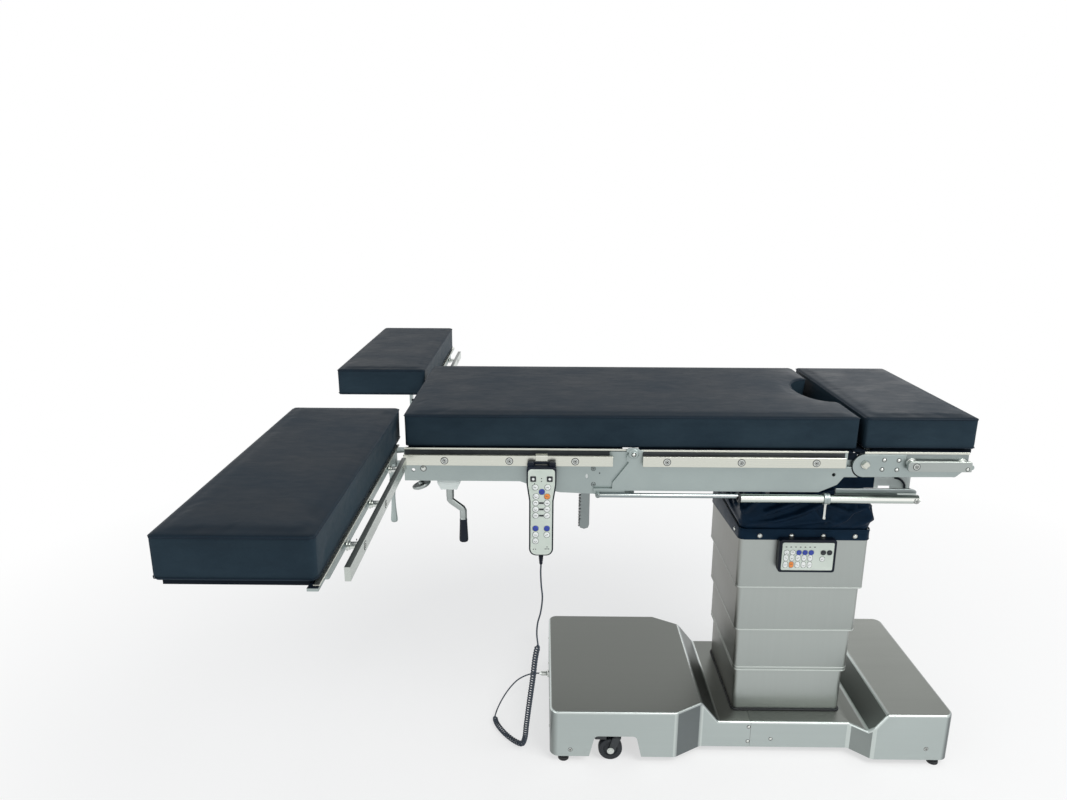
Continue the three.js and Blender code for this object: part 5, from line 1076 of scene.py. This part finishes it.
for side, word in ((-1, "near"), (1, "far")):
    for rail in ("back", "centre"):
        dress(f"{rail}_rail_{word}", RAIL, "bright_steel", 1.3)
    bar = prism(f"head_rail_bar_{word}", rounded([(605, 849, 7), (752, 849, 2), (752, 874, 5), (605, 874, 9)], 6), "y",
                *span(side, 295, 305), HEAD_RAIL, 1.2)
    put(bar, "head", "bright_steel", f"head_rail_{word}")
    for i, x in enumerate((618, 736)):
        stud = lathe(f"head_rail_stud_{word}_{i}", (x, side * 287.7, 866), (0, side, 0),
                     [(0, 0), (11, 0), (11, 2.4), (10, 3), (7, 3.4), (7, 7.6), (0, 7.6)], BRIGHT, 28)
        put(stud, "head", "bright_steel")
    window = lathe(f"plate_window_{word}", (-136.5, side * 279.4, 824), (0, side, 0),
                   [(0, 0), (3.3, 0), (3.3, 0.8), (0, 0.8)], KEY_WHITE, 24, scale=(1, 1.6))
    put(window, "back", "pale_paint")
for rail, screws in (("back", (-469.5, -318.5, -165.5)), ("centre", (47.5, 219.5, 392.5))):
    for i, x in enumerate(screws):
        for side in (-1, 1):
            socket_screw(f"{rail}_rail_screw_{i}_{side + 1}", (x, side * 305, 868.5), (0, side, 0), 7.5,
                         body_of(f"{rail}_rail_near"))
for side in (-1, 1):
    out = (0, side, 0)
    socket_screw(f"head_rail_screw_{side + 1}", (624, side * 305, 861.5), out, 7, "head")
    for i, (x, z) in enumerate(((555.5, 872), (589.5, 871), (552.5, 848.5), (587, 848))):
        dome(f"head_bolt_{i}_{side + 1}", (x, side * 287.7, z), out, 3.7, 2.4, "head")
    dome(f"plate_bolt_{side + 1}", (-522.5, side * 281, 840.4), out, 5.6, 3.2, "back")
    for i, (x, z) in enumerate(((-121.5, 843), (-120.5, 804))):
        socket_screw(f"plate_screw_{i}_{side + 1}", (x, side * 281, z), out, 4.6, "back", SATIN)
    small_hole(f"plate_hole_{side + 1}", (-106.5, side * 281, 832), out, "back")

    # the head plate's smooth outline, its hinge bolt and the stop at the rail's end
    shape = arc(DISC, 28, 90, 270, 26) + rounded([
        (724, 829, 9), (750.5, 853, 6), (750.5, 885, 1.5), (540, 885)], 5)[:-1]
    plate = prism(f"head_side_plate_{side + 1}", shape, "y", side * 281.3, side * 287.7, SATIN, 0.9)
    put(plate, "head", "satin_aluminium")
    seat = lathe(f"hinge_bolt_seat_{side + 1}", (512.5, side * 287.7, 860), out,
                 [(0, 0), (11.5, 0), (11.2, 0.5), (0, 0.5)], SATIN_DARK, 28)
    put(seat, "head", "satin_aluminium")
    hex_bolt(f"hinge_bolt_{side + 1}", (512.5, side * 287.7, 860), out, 9.5, 8, "head", RAIL, sides=4, washer=1.0)
    stop = prism(f"rail_stop_{side + 1}", rectangle(738, 763, 850.5, 862.5, 5.8), "y", side * 288.2, side * 294.6,
                 SATIN, 0.8)
    put(stop, "head", "satin_aluminium")
    dome(f"rail_stop_screw_{side + 1}", (742, side * 305, 856), out, 3.2, 1.4, "head")

    # the seat plate's end round the head plate's disc, with a dark cheek behind it
    end = prism(f"seat_plate_end_{side + 1}", [
        (462, 828.7), *arc(DISC, 31, 246, 186, 10), (470, 853.8), (470, 888.6), (462, 888.6)], "y",
        *span(side, 282.1, 287.9), SATIN, 0.7)
    put(end, "centre", "satin_aluminium")
    put(brick(f"joint_cheek_{side + 1}", (466, 494), span(side, 276.6, 281), (869, 886), PAD_BASE), "centre", "chassis")

    # the bracket where the mattress folds, which hides the open gap behind it
    knuckle = lathe(f"fold_knuckle_{side + 1}", (-29.5, side * 288.6, 884), out,
                    [(0, 0), (11.5, 0), (12, 0.6), (12, 5), (10.8, 6.4), (6.4, 7), (6.4, 9.4), (5.4, 10.2), (0, 10.2)],
                    SATIN, 32)
    put(knuckle, "centre", "bright_steel")
    dome(f"fold_nut_{side + 1}", (-29.5, side * 298.8, 884), out, 3.6, 2.2, "centre")
    tab = prism(f"fold_tab_{side + 1}", [
        (-46, 888), (-22, 884.5), (-8, 887.4), (-5, 891.4), (-15, 893.6), (-19, 897.6), (-30, 898.8), (-42, 897.4),
        (-46, 893)], "y", *span(side, 288.8, 292.6), SATIN, 0.8)
    put(tab, "centre", "bright_steel")

    # strips close the gap over the side plates, a bright lip stands along each, and a dark sheet on each plate is
    # painted shade in the gap behind the rail
    for body, x, y, lip, reach, edge in (
            ("back", (-566, -57), 281, (-566, -44), (281.1, 284.4), (888.6, 893.2)),
            ("centre", (-20.5, 484), 285.4, (-43.5, 470), (285.5, 289.4), (888.6, 893.2)),
            ("head", (524, 752), 284.3, (509, 752), (284.4, 287.7), (886, 891.4))):
        put(brick(f"{body}_strip_{side + 1}", x, span(side, y, 264.3), (886.1, 888.4), PAD_BASE), body, "chassis")
        put(brick(f"{body}_lip_{side + 1}", lip, span(side, *reach), edge, RAIL, 0.6), body, "bright_steel")
    put(brick(f"hinge_strip_{side + 1}", (-46, -20.6), span(side, 281.6, 285.4), (886.1, 888.4), PAD_BASE),
        "centre", "chassis")
    # painted shade: dark sheets on the side plates where they lie in shadow behind the rails
    for body, x, y, z, tone in (("back", (-566, -84), 281.1, (857, 888.8), CHASSIS),
                                ("centre", (-8, 463), 288.1, (857, 888.8), CHASSIS),
                                ("head", (606, 749), 287.8, (871, 885.9), SATIN_DARK)):
        put(brick(f"{body}_shade_sheet_{side + 1}", x, span(side, y, y + 0.8), z, tone, 0.2), body, "chassis")

# ---------------------------------------------------------------- sliding top's cylinder and rod
tube_at = Vector((0, -292, 776.5))
ALONG, NEAR, DOWN = (1, 0, 0), (0, -1, 0), (0, 0, -1)
cylinder = lathe("slide_tube", tube_at + Vector((221.5, 0, 0)), ALONG,
                 [(5.9, 0), (9.6, 0), (10.5, 0.9), (10.5, 421), (9.8, 422), (0, 422)], TUBE, 40)
put(cylinder, "cradle", "bright_steel", "slide_cylinder")
mouth = lathe("slide_tube_seal", tube_at + Vector((219.5, 0, 0)), ALONG,
              [(5.6, 0), (9.8, 0), (11, 0.9), (11, 5.4), (10.6, 6), (10.6, 6.2), (5.6, 6.2)], SEAL, 36, closed=True)
put(mouth, "cradle", "cord_rubber")
hex_bolt("slide_tube_bolt", tube_at + Vector((643.5, 0, 0)), ALONG, 6, 6, "cradle")
socket_screw("slide_tube_screw", (636, -302.3, 775), NEAR, 5.4, "cradle")
bar = prism("slide_bar_behind", [(452, 779), (644, 779), (644, 791), (641, 794), (630, 797.5), (452, 797.5)], "y",
            -280.9, -274.5, SATIN_DARK, 1.6)
put(bar, "cradle", "satin_aluminium")
rod = lathe("slide_bar", tube_at + Vector((-107, 0, 4.6)), ALONG,
            [(0, 0), (4.8, 0), (5.5, 0.8), (5.5, 357), (5, 358), (0, 358)], ROD, 28)
put(rod, "centre", "bright_steel", "slide_rod")
eye = lathe("slide_eye", (-110.5, -286.2, 781.1), NEAR,
            [(3, 0), (5.4, 0), (5.9, 0.6), (5.9, 10.9), (5.4, 11.5), (3, 11.5)], SATIN, 32, closed=True)
put(eye, "centre", "bright_steel")
pin = lathe("slide_eye_pin", (-110.5, -281.5, 781.1), NEAR,
            [(0, 0), (2.9, 0), (2.9, 17), (4.4, 17.2), (4.4, 18.4), (3.8, 19), (0, 19)], SATIN_DARK, 24)
put(pin, "centre", "bright_steel")
ring = lathe("lock_ring", tube_at + Vector((420.5, 0, 0)), ALONG,
             [(10.8, 0), (12.6, 0), (13.6, 1), (13.6, 5.6), (12.8, 6.4), (12.8, 7.6), (13.6, 8.4), (13.6, 13),
              (12.6, 14), (10.8, 14)], SATIN, 40, closed=True)
put(ring, "slide_lock", "satin_aluminium", "slide_lock_lever")
handle = lathe("lock_rod", (427.5, -292, 765), DOWN,
               [(0, 0), (4.4, 0), (4.4, 3), (2.6, 4.2), (2.6, 34), (3.3, 36), (3.4, 38.6), (2.8, 40.3), (0, 40.5)],
               BRIGHT, 24)
put(handle, "slide_lock", "bright_steel")

# ---------------------------------------------------------------- crank, knob and levers
CRANK_X, KNOB_X, CRANK_Y = -464.5, -533.5, -250
throw_x = CRANK_X + 31
shaft = lathe("crank_shaft", (CRANK_X, CRANK_Y, 802), DOWN,
              [(0, 0), (9, 0), (9.3, 0.8), (9.3, 44), (8.6, 46), (8.6, 50), (0, 50)], CRANK, 36)
put(shaft, "crank", "satin_aluminium", "kidney_crank")
arm = tube("crank_arm", [(x, CRANK_Y, z) for x, z in (
    (CRANK_X, 756), (CRANK_X, 751), (CRANK_X + 2, 747.5), (throw_x - 2, 727), (throw_x, 723), (throw_x, 718))],
    [8.8, 8.8, 8.4, 8.2, 8.4, 8.4], CRANK, 28, 35)
put(arm, "crank", "satin_aluminium")
post = lathe("crank_post", (throw_x, CRANK_Y, 724), DOWN,
             [(0, 0), (8.2, 0), (8.6, 1), (8.6, 19), (8.2, 20), (8.2, 21), (8.8, 22), (8.8, 24), (0, 24)], CRANK, 36)
put(post, "crank", "satin_aluminium")
grip = lathe("crank_grip", (throw_x, CRANK_Y, 701), DOWN,
             [(0, 0), (8.6, 0), (9.2, 0.8), (9.2, 8), (9.5, 16), (10.4, 36), (11, 50), (11, 56), (10, 59), (8, 60),
              (0, 60)], CASE, 40, angle=40)
put(grip, "crank", "case_plastic")
stem = lathe("knob_stem", (KNOB_X, CRANK_Y, 853), DOWN,
             [(0, 0), (4.2, 0), (4.2, 44), (5.8, 45), (5.8, 50), (4.4, 52), (4.4, 62), (0, 62)], BRIGHT, 28)
put(stem, "knob", "bright_steel", "clamp_knob")
dish = lathe("knob_dish", (KNOB_X, CRANK_Y, 790.5), (0.33, 0, -0.94),
             [(0, -7), (5.4, -7), (6.4, -5.6), (7.4, -1.6), (15, -0.6), (20.5, -1.8), (22.8, -1), (23.6, 1.4),
              (22.4, 4.6), (17.5, 8), (9, 10), (0, 10.4)], CRANK, 44, angle=50)
put(dish, "knob", "satin_aluminium")
for side, word in ((-1, "near"), (1, "far")):
    lever, leg, middle = f"lever_{word}", f"leg_{word}", side * 270.5
    lower = rounded([(middle + 8, 812, 6), (middle + 11.5, 802, 5), (middle + 10.5, 782, 5),
                     (middle - 10.5, 782, 5), (middle - 11.5, 802, 5), (middle - 8, 812, 6)], 4)
    neck = prism(f"lever_neck_{word}", arc((middle, 852), 13.8, 208, -28, 20) + lower, "x",
                 -605.2, -592.2, SATIN, 1.6, 3)
    put(neck, lever, "satin_aluminium", f"leg_lever_{word}")
    handle = lathe(f"lever_handle_{word}", (-598.7, middle, 784), DOWN,
                   [(0, 0), (6.2, 0), (6.6, 3), (5.2, 9), (4.7, 18), (5.0, 34), (6.4, 56), (8.1, 74), (8.2, 79),
                    (7.2, 82.4), (4.4, 84), (0, 84)], SATIN, 36, angle=60)
    put(handle, lever, "satin_aluminium")
    for i, (x, y, z) in enumerate(((-597.5, 279.9, 818), (-600.5, 280.8, 809))):
        small_hole(f"lever_hole_{word}_{i}", (x, side * y, z), (0, side, 0), lever, 1.8, -2, 0)
    dress(f"leg_carrier_{word}", SATIN_DARK, "satin_aluminium", 1.2)
    dress(f"leg_frame_{word}", [SATIN, LEG_RAIL, PAD_BASE], "satin_aluminium", 1.0,
          faces=lambda c: 1 if c.x > -561.5 else 2 if c.z > 882.5 and c.x < -592 else 0)
    for i, y in enumerate((388.7, 588.5, 777.5)):
        stud = lathe(f"leg_stud_{word}_{i}", (-582.4, side * y, 876.5), ALONG,
                     [(0, 0), (10, 0), (10, 1.6), (8.2, 2), (8.2, 6), (6.4, 6.4), (6.4, 21.7), (0, 21.7)], BRIGHT, 28)
        put(stud, leg, "bright_steel")
        socket_screw(f"leg_rail_screw_{word}_{i}", (-550.5, side * y, 876.5), ALONG, 7, leg)
    put(brick(f"leg_flange_{word}", (-592.3, -581.8), span(side, 256, 950), (889.1, 891.6), RAIL, 0.6),
        leg, "bright_steel")
    for i, (y, z) in enumerate(((300, 846), (306, 854), (520, 846), (526, 854), (700, 846), (706, 854), (712, 846))):
        small_hole(f"leg_mark_{word}_{i}", (-582.5, side * y, z), ALONG, leg, steps=14)

# the bridge's rack has teeth along one edge
TOOTH = ((-153.5, 0), (-149.6, 0.3), (-149.2, 1.2), (-149.6, 2.1), (-153.5, 2.4))
for side in (-1, 1):
    points, faces = [], []
    for k in range(23):
        start = len(points)
        points += [(x, y, 685 + 4.1 * k + z) for y in (side * 254, side * 255.3) for x, z in TOOTH]
        faces += [tuple(range(start, start + 5)), tuple(range(start + 5, start + 10))]
        faces += [(start + i, start + (i + 1) % 5, start + 5 + (i + 1) % 5, start + 5 + i) for i in range(5)]
    put(build(f"rack_teeth_{side + 1}", points, faces, HOLE), "kidney", "satin_aluminium")

# ---------------------------------------------------------------- mattresses
def places(obj):
    """The points' places, one number after the other."""
    result = np.empty(len(obj.data.vertices) * 3)
    obj.data.vertices.foreach_get("co", result)
    return result


def move(obj, result):
    obj.data.vertices.foreach_set("co", result.ravel())
    obj.data.update()


VOXEL, FRAMES, SWELL = 6.0, 20, 3.5  # the remesh and the greatest swelling in millimetres, and the steps of the cloth


def swollen(obj):
    """Air pressure in a sewn cover, with each point's movement capped; gives the places from before."""
    remesh = obj.modifiers.new("remesh", "REMESH")
    remesh.mode = "VOXEL"
    remesh.voxel_size = VOXEL * MM
    applied(obj)
    rest = places(obj)
    cloth = obj.modifiers.new("cloth", "CLOTH")
    settings = cloth.settings
    settings.use_pressure = True
    settings.uniform_pressure_force = 4.0
    settings.effector_weights.gravity = 0
    settings.quality = 5
    settings.tension_stiffness = 20
    settings.compression_stiffness = 20
    settings.bending_stiffness = 1.2
    cloth.collision_settings.use_self_collision = False
    cloth.point_cache.frame_start = 1
    cloth.point_cache.frame_end = FRAMES
    for number in range(1, FRAMES + 1):
        scene.frame_set(number)
    applied(obj)
    scene.frame_set(1)
    shift = (places(obj) - rest).reshape(-1, 3)
    size = np.linalg.norm(shift, axis=1, keepdims=True)
    shift *= np.minimum(1, SWELL * MM / np.maximum(size, 1e-9))
    move(obj, rest.reshape(-1, 3) + shift)
    return rest


def held_edges(obj, rest, outline, low, high):
    """Takes the swelling back near a pad's seams and corners, where the cover is sewn."""
    at = rest.reshape(-1, 3) / MM
    plan = np.array(outline)
    gap = np.full(len(at), 1e9)
    for a, b in zip(plan, np.roll(plan, -1, 0)):
        share = np.clip(((at[:, :2] - a) @ (b - a)) / max(1e-9, (b - a) @ (b - a)), 0, 1)
        gap = np.minimum(gap, np.linalg.norm(at[:, :2] - a - share[:, None] * (b - a), axis=1))
    gap = np.maximum(gap, np.minimum(high - at[:, 2], at[:, 2] - low))
    corners = [(x, y) for x in (plan[:, 0].min(), plan[:, 0].max()) for y in (plan[:, 1].min(), plan[:, 1].max())]
    away = np.min([np.hypot(at[:, 0] - x, at[:, 1] - y) for x, y in corners], axis=0)
    share = np.clip(gap / 30, 0, 1) * np.clip(away / 45, 0, 1)
    share = share * share * (3 - 2 * share)
    move(obj, rest + (places(obj) - rest) * np.repeat(share, 3))


def mattress(name, outline, low, high):
    """A foam pad in a sewn cover over a counter-clockwise outline."""
    rows = [(low, 4), (low + 1.2, 1.6), (low + 4, 0.6), ((low + high) / 2, 0.3), (high - 5, 0), (high - 1.6, 0.3),
            (high - 0.3, 1.5), (high, 3.4)]
    rings = [[(a, b, z) for a, b in shrink(outline, inset)] for z, inset in rows]
    obj = build(name, *loft(rings), PAD, 180)
    rest = swollen(obj)
    if rest is not None:
        held_edges(obj, rest, outline, low, high)
    unsharp(obj)
    return obj


def piping(name, outline, z, radius):
    """The piping along a pad's edge, a little outside its outline."""
    shape = [Vector((a, b, 0)) for a, b in shrink(outline, -0.1)]
    total = sum((b - a).length for a, b in zip(shape, [*shape[1:], shape[0]]))
    line = even([*shape, shape[0]], max(40, int(total / 9)))[:-1]
    return ring_tube(name, [(p.x, p.y, z) for p in line], radius, PIPING)


PAD_TOP = 969.4
NOTCH = [(497.5 - 73 * math.sin(math.pi * k / 26), -125 * math.cos(math.pi * k / 26)) for k in range(27)]
MAIN_PLAN = rounded([(-566.5, -271, 6), (498, -271, 6), *NOTCH, (498, 271, 6), (-566.5, 271, 6)], 6)
HEAD_PLAN = rounded([(512, -271, 6), (773, -271, 8), (773, 271, 8), (512, 271, 6)], 6)
LEG_PLAN = rectangle(-843.5, -587, -944, -206.5, 8)

main_pad = mattress("main_mattress", MAIN_PLAN, 889.4, PAD_TOP)
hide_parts("centre_pad", "pad_fold", "back_pad")
for piece in (main_pad, piping("main_piping_top", MAIN_PLAN, PAD_TOP - 4, 1.1)):
    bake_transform(piece)


def section_pad(name, plan, body, node, top):
    """A section's mattress with its two pipings."""
    pad = mattress(name, plan, 892.3, top)
    put(pad, body, "upholstery", node)
    pipings = [piping(f"{name}_piping_{place}", plan, z, radius)
               for place, z, radius in (("top", top - 4, 1.1), ("bottom", 897, 0.9))]
    for line in pipings:
        put(line, body, "upholstery")
    return [pad, *pipings]


for piece in section_pad("head_mattress", HEAD_PLAN, "head", "head_pad", PAD_TOP):
    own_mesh(piece)  # each piece gets a mesh of its own
section_pad("leg_mattress_near", LEG_PLAN, "leg_near", "leg_pad_near", 969)
section_pad("leg_mattress_far", [(a, -b) for a, b in reversed(LEG_PLAN)], "leg_far", "leg_pad_far", 969)


# ---------------------------------------------------------------- control panel and hand control
def key(name, x, z, face, size, material, body, rise=1.6, square=False, ring=True):
    """A soft key under a keypad film, with a printed outline round it."""
    half = size if isinstance(size, tuple) else (size, size)
    corner = min(half) * (0.25 if square else 0.98)

    def outline(inset, y):
        inset = min(inset, 0.7 * min(half))
        w, h = half[0] - inset, half[1] - inset
        return [(a, y, b) for a, b in rectangle(x - w, x + w, z - h, z + h, max(0.3, min(corner, w, h) - 0.02), 6)]
    rings = [outline(0, face + 0.4), outline(0, face - rise * 0.55), outline(0.35, face - rise * 0.85),
             outline(1.0, face - rise), outline(min(half) * 0.6, face - rise * 1.12)]
    put(build(name, *loft(rings), material, 50), body, "keypad_film")
    if ring:
        rings = [outline(inset, face + y) for inset, y in ((-0.9, 0.2), (-0.9, -0.12), (-0.25, -0.12), (-0.25, 0.2))]
        put(build(name + "_outline", *loft(rings, True), KEY_LINE, 50), body, "keypad_film")


GLYPHS = (  # small arrows and bars, in shares of a key's half width
    ((-0.5, -0.15), (0, -0.45), (0.5, -0.15), (0.5, 0.02), (0, -0.28), (-0.5, 0.02)),
    ((-0.5, 0.15), (-0.5, -0.02), (0, 0.28), (0.5, -0.02), (0.5, 0.15), (0, 0.45)),
    ((-0.55, -0.22), (0.5, 0.12), (0.5, 0.28), (-0.55, -0.06)),
    ((-0.55, 0.1), (0.5, -0.24), (0.5, -0.08), (-0.55, 0.26)),
    ((-0.5, -0.1), (0.5, -0.1), (0.5, 0.06), (-0.5, 0.06)))


def glyph(name, x, z, face, size, number, dark, body):
    """A printed arrow or bar with a short line under it."""
    tone = KEY_LINE if dark else KEY_BLACK
    shape = [(x + a * size, z + b * size * 1.1) for a, b in GLYPHS[number % len(GLYPHS)]]
    put(prism(name, shape, "y", face - 0.12, face + 0.3, tone), body, "keypad_film")


PANEL = "column_top"
case = prism("panel_box", rectangle(363.5, 508.5, 532, 622, 7), "y", -188.4, -168.7, CASE, 2.2, 3)
put(case, PANEL, "case_plastic", "panel_case")
film = prism("panel_film", rectangle(370.5, 501.5, 539, 615, 4), "y", -189.5, -188.0, FILM, 0.5)
put(film, PANEL, "keypad_film", "panel_keypad")
PANEL_KEYS = [(x, 588.5, 6.2, KEY_WHITE) for x in (382.0, 397.2)]
PANEL_KEYS += [(x, 588.5, 6.2, KEY_BLUE) for x in (413.0, 428.5, 444.0)]
PANEL_KEYS += [(x, 588.5, 6.2, KEY_BLACK) for x in (474.7, 490.5)]
PANEL_KEYS += [(473.3, 570.8, 6.0, KEY_WHITE)]
for i, x in enumerate((380.8, 395.8, 411.3, 426.8, 442.3)):
    PANEL_KEYS += [(x, 573.6, (5.4, 8.0), KEY_WHITE),
                   (x, 554.6, (5.4, 8.0), KEY_ORANGE if i == 1 else KEY_WHITE)]
for i, (x, z, size, material) in enumerate(PANEL_KEYS):
    key(f"panel_key_{i}", x, z, -189.5, size, material, PANEL)
    half = min(size) if isinstance(size, tuple) else size
    glyph(f"panel_glyph_{i}", x, z, -191.25, half, i, material is not KEY_WHITE, PANEL)
for i, x in enumerate((380, 392, 404, 416, 428, 440, 452)):
    key(f"panel_mark_{i}", x, 603.5, -189.5, (2.0, 1.1), KEY_BLACK, PANEL, 0.5, True, False)

HAND_X = -243.5
outline = rounded([(HAND_X + dx, z, radius) for dx, z, radius in (
    (-28.6, 641, 17), (28.6, 641, 17), (28.6, 779, 12), (34.6, 820, 12),
    (34.6, 862, 9), (-34.6, 862, 9), (-34.6, 820, 12), (-28.6, 779, 12))], 6)
put(prism("handset_box", outline, "y", -329.8, -307.4, CASE, 3.2, 4), "back", "case_plastic", "handset_case")
for dx in (-1, 1):
    middle = HAND_X + dx * 25
    lug = prism(f"handset_lug_{dx + 1}", rectangle(middle - 8, middle + 8, 852, 871, 4), "y", -322, -309, CASE, 1.4)
    put(lug, "back", "case_plastic")
yoke_bar = prism("handset_bar", rectangle(HAND_X - 30, HAND_X + 30, 864.5, 870.5, 2.6), "y", -314, -308.8, CASE, 0.9)
put(yoke_bar, "back", "case_plastic")
strap = [(-310.6, 851), (-310.6, 882), (-308.6, 884), (-293.6, 884), (-291.6, 882), (-291.6, 868), (-293.6, 868),
         (-293.6, 882), (-308.6, 882), (-308.6, 851)]
put(prism("handset_strap", strap, "x", HAND_X - 14, HAND_X + 14, RAIL, 0.5), "back", "bright_steel")
hand_shape = rounded([(HAND_X + dx, z, radius) for dx, z, radius in (
    (-25, 645, 14), (25, 645, 14), (25, 780, 6), (31, 820, 6),
    (31, 858, 8), (-31, 858, 8), (-31, 820, 6), (-25, 780, 6))], 5)
film = prism("handset_film", hand_shape, "y", -331.1, -329.6, FILM, 0.4)
put(film, "back", "keypad_film", "handset_keypad")
HAND_KEYS = []
for dx in (-19.1, 19.1):
    HAND_KEYS.append((HAND_X + dx, 834.7, (6.7, 6.7), KEY_BLACK, True))
    HAND_KEYS.append((HAND_X + dx * 0.76, 814.4, 6.4, KEY_WHITE, False))
HAND_KEYS.append((HAND_X + 1, 803.3, 6.4, KEY_BLUE, False))
HAND_KEYS += [(HAND_X - 12.5, 792, 6.4, KEY_WHITE, False), (HAND_X + 13.4, 792, 6.4, KEY_ORANGE, False)]
for z in (775.7, 760, 744.3):
    HAND_KEYS += [(HAND_X + dx, z, 6.4, KEY_WHITE, False) for dx in (-13.2, 13.2)]
    HAND_KEYS.append((HAND_X, z, (5.4, 1.9), KEY_BLACK, True))
HAND_KEYS += [(HAND_X + dx, 712, 6.4, KEY_BLUE, False) for dx in (-13.2, 13.2)]
HAND_KEYS += [(HAND_X + dx, 696, 6.4, KEY_WHITE, False) for dx in (-13.2, 13.2)]
HAND_KEYS.append((HAND_X - 13.2, 680, 6.4, KEY_WHITE, False))
for i, (x, z, size, material, square) in enumerate(HAND_KEYS):
    key(f"handset_key_{i}", x, z, -331.1, size, material, "back", 1.3, square, not square)
    if not square:
        glyph(f"handset_glyph_{i}", x, z, -332.5, size, i * 3, material is not KEY_WHITE, "back")
HAND_MARKS = ((-18, 659), (-13, 659), (10, 660), (14, 660), (18, 660), (14, 665), (0, 829), (0, 836), (-16, 823))
for i, (dx, z) in enumerate(HAND_MARKS):
    key(f"handset_mark_{i}", HAND_X + dx, z, -331.1, (1.3, 1.0), KEY_BLACK, "back", 0.4, True, False)
for dx in (-19.1, 19.1):
    key(f"handset_dot_{'l' if dx < 0 else 'r'}", HAND_X + dx, 834.7, -332.4, 3, KEY_WHITE, "back", 0.5, False, False)

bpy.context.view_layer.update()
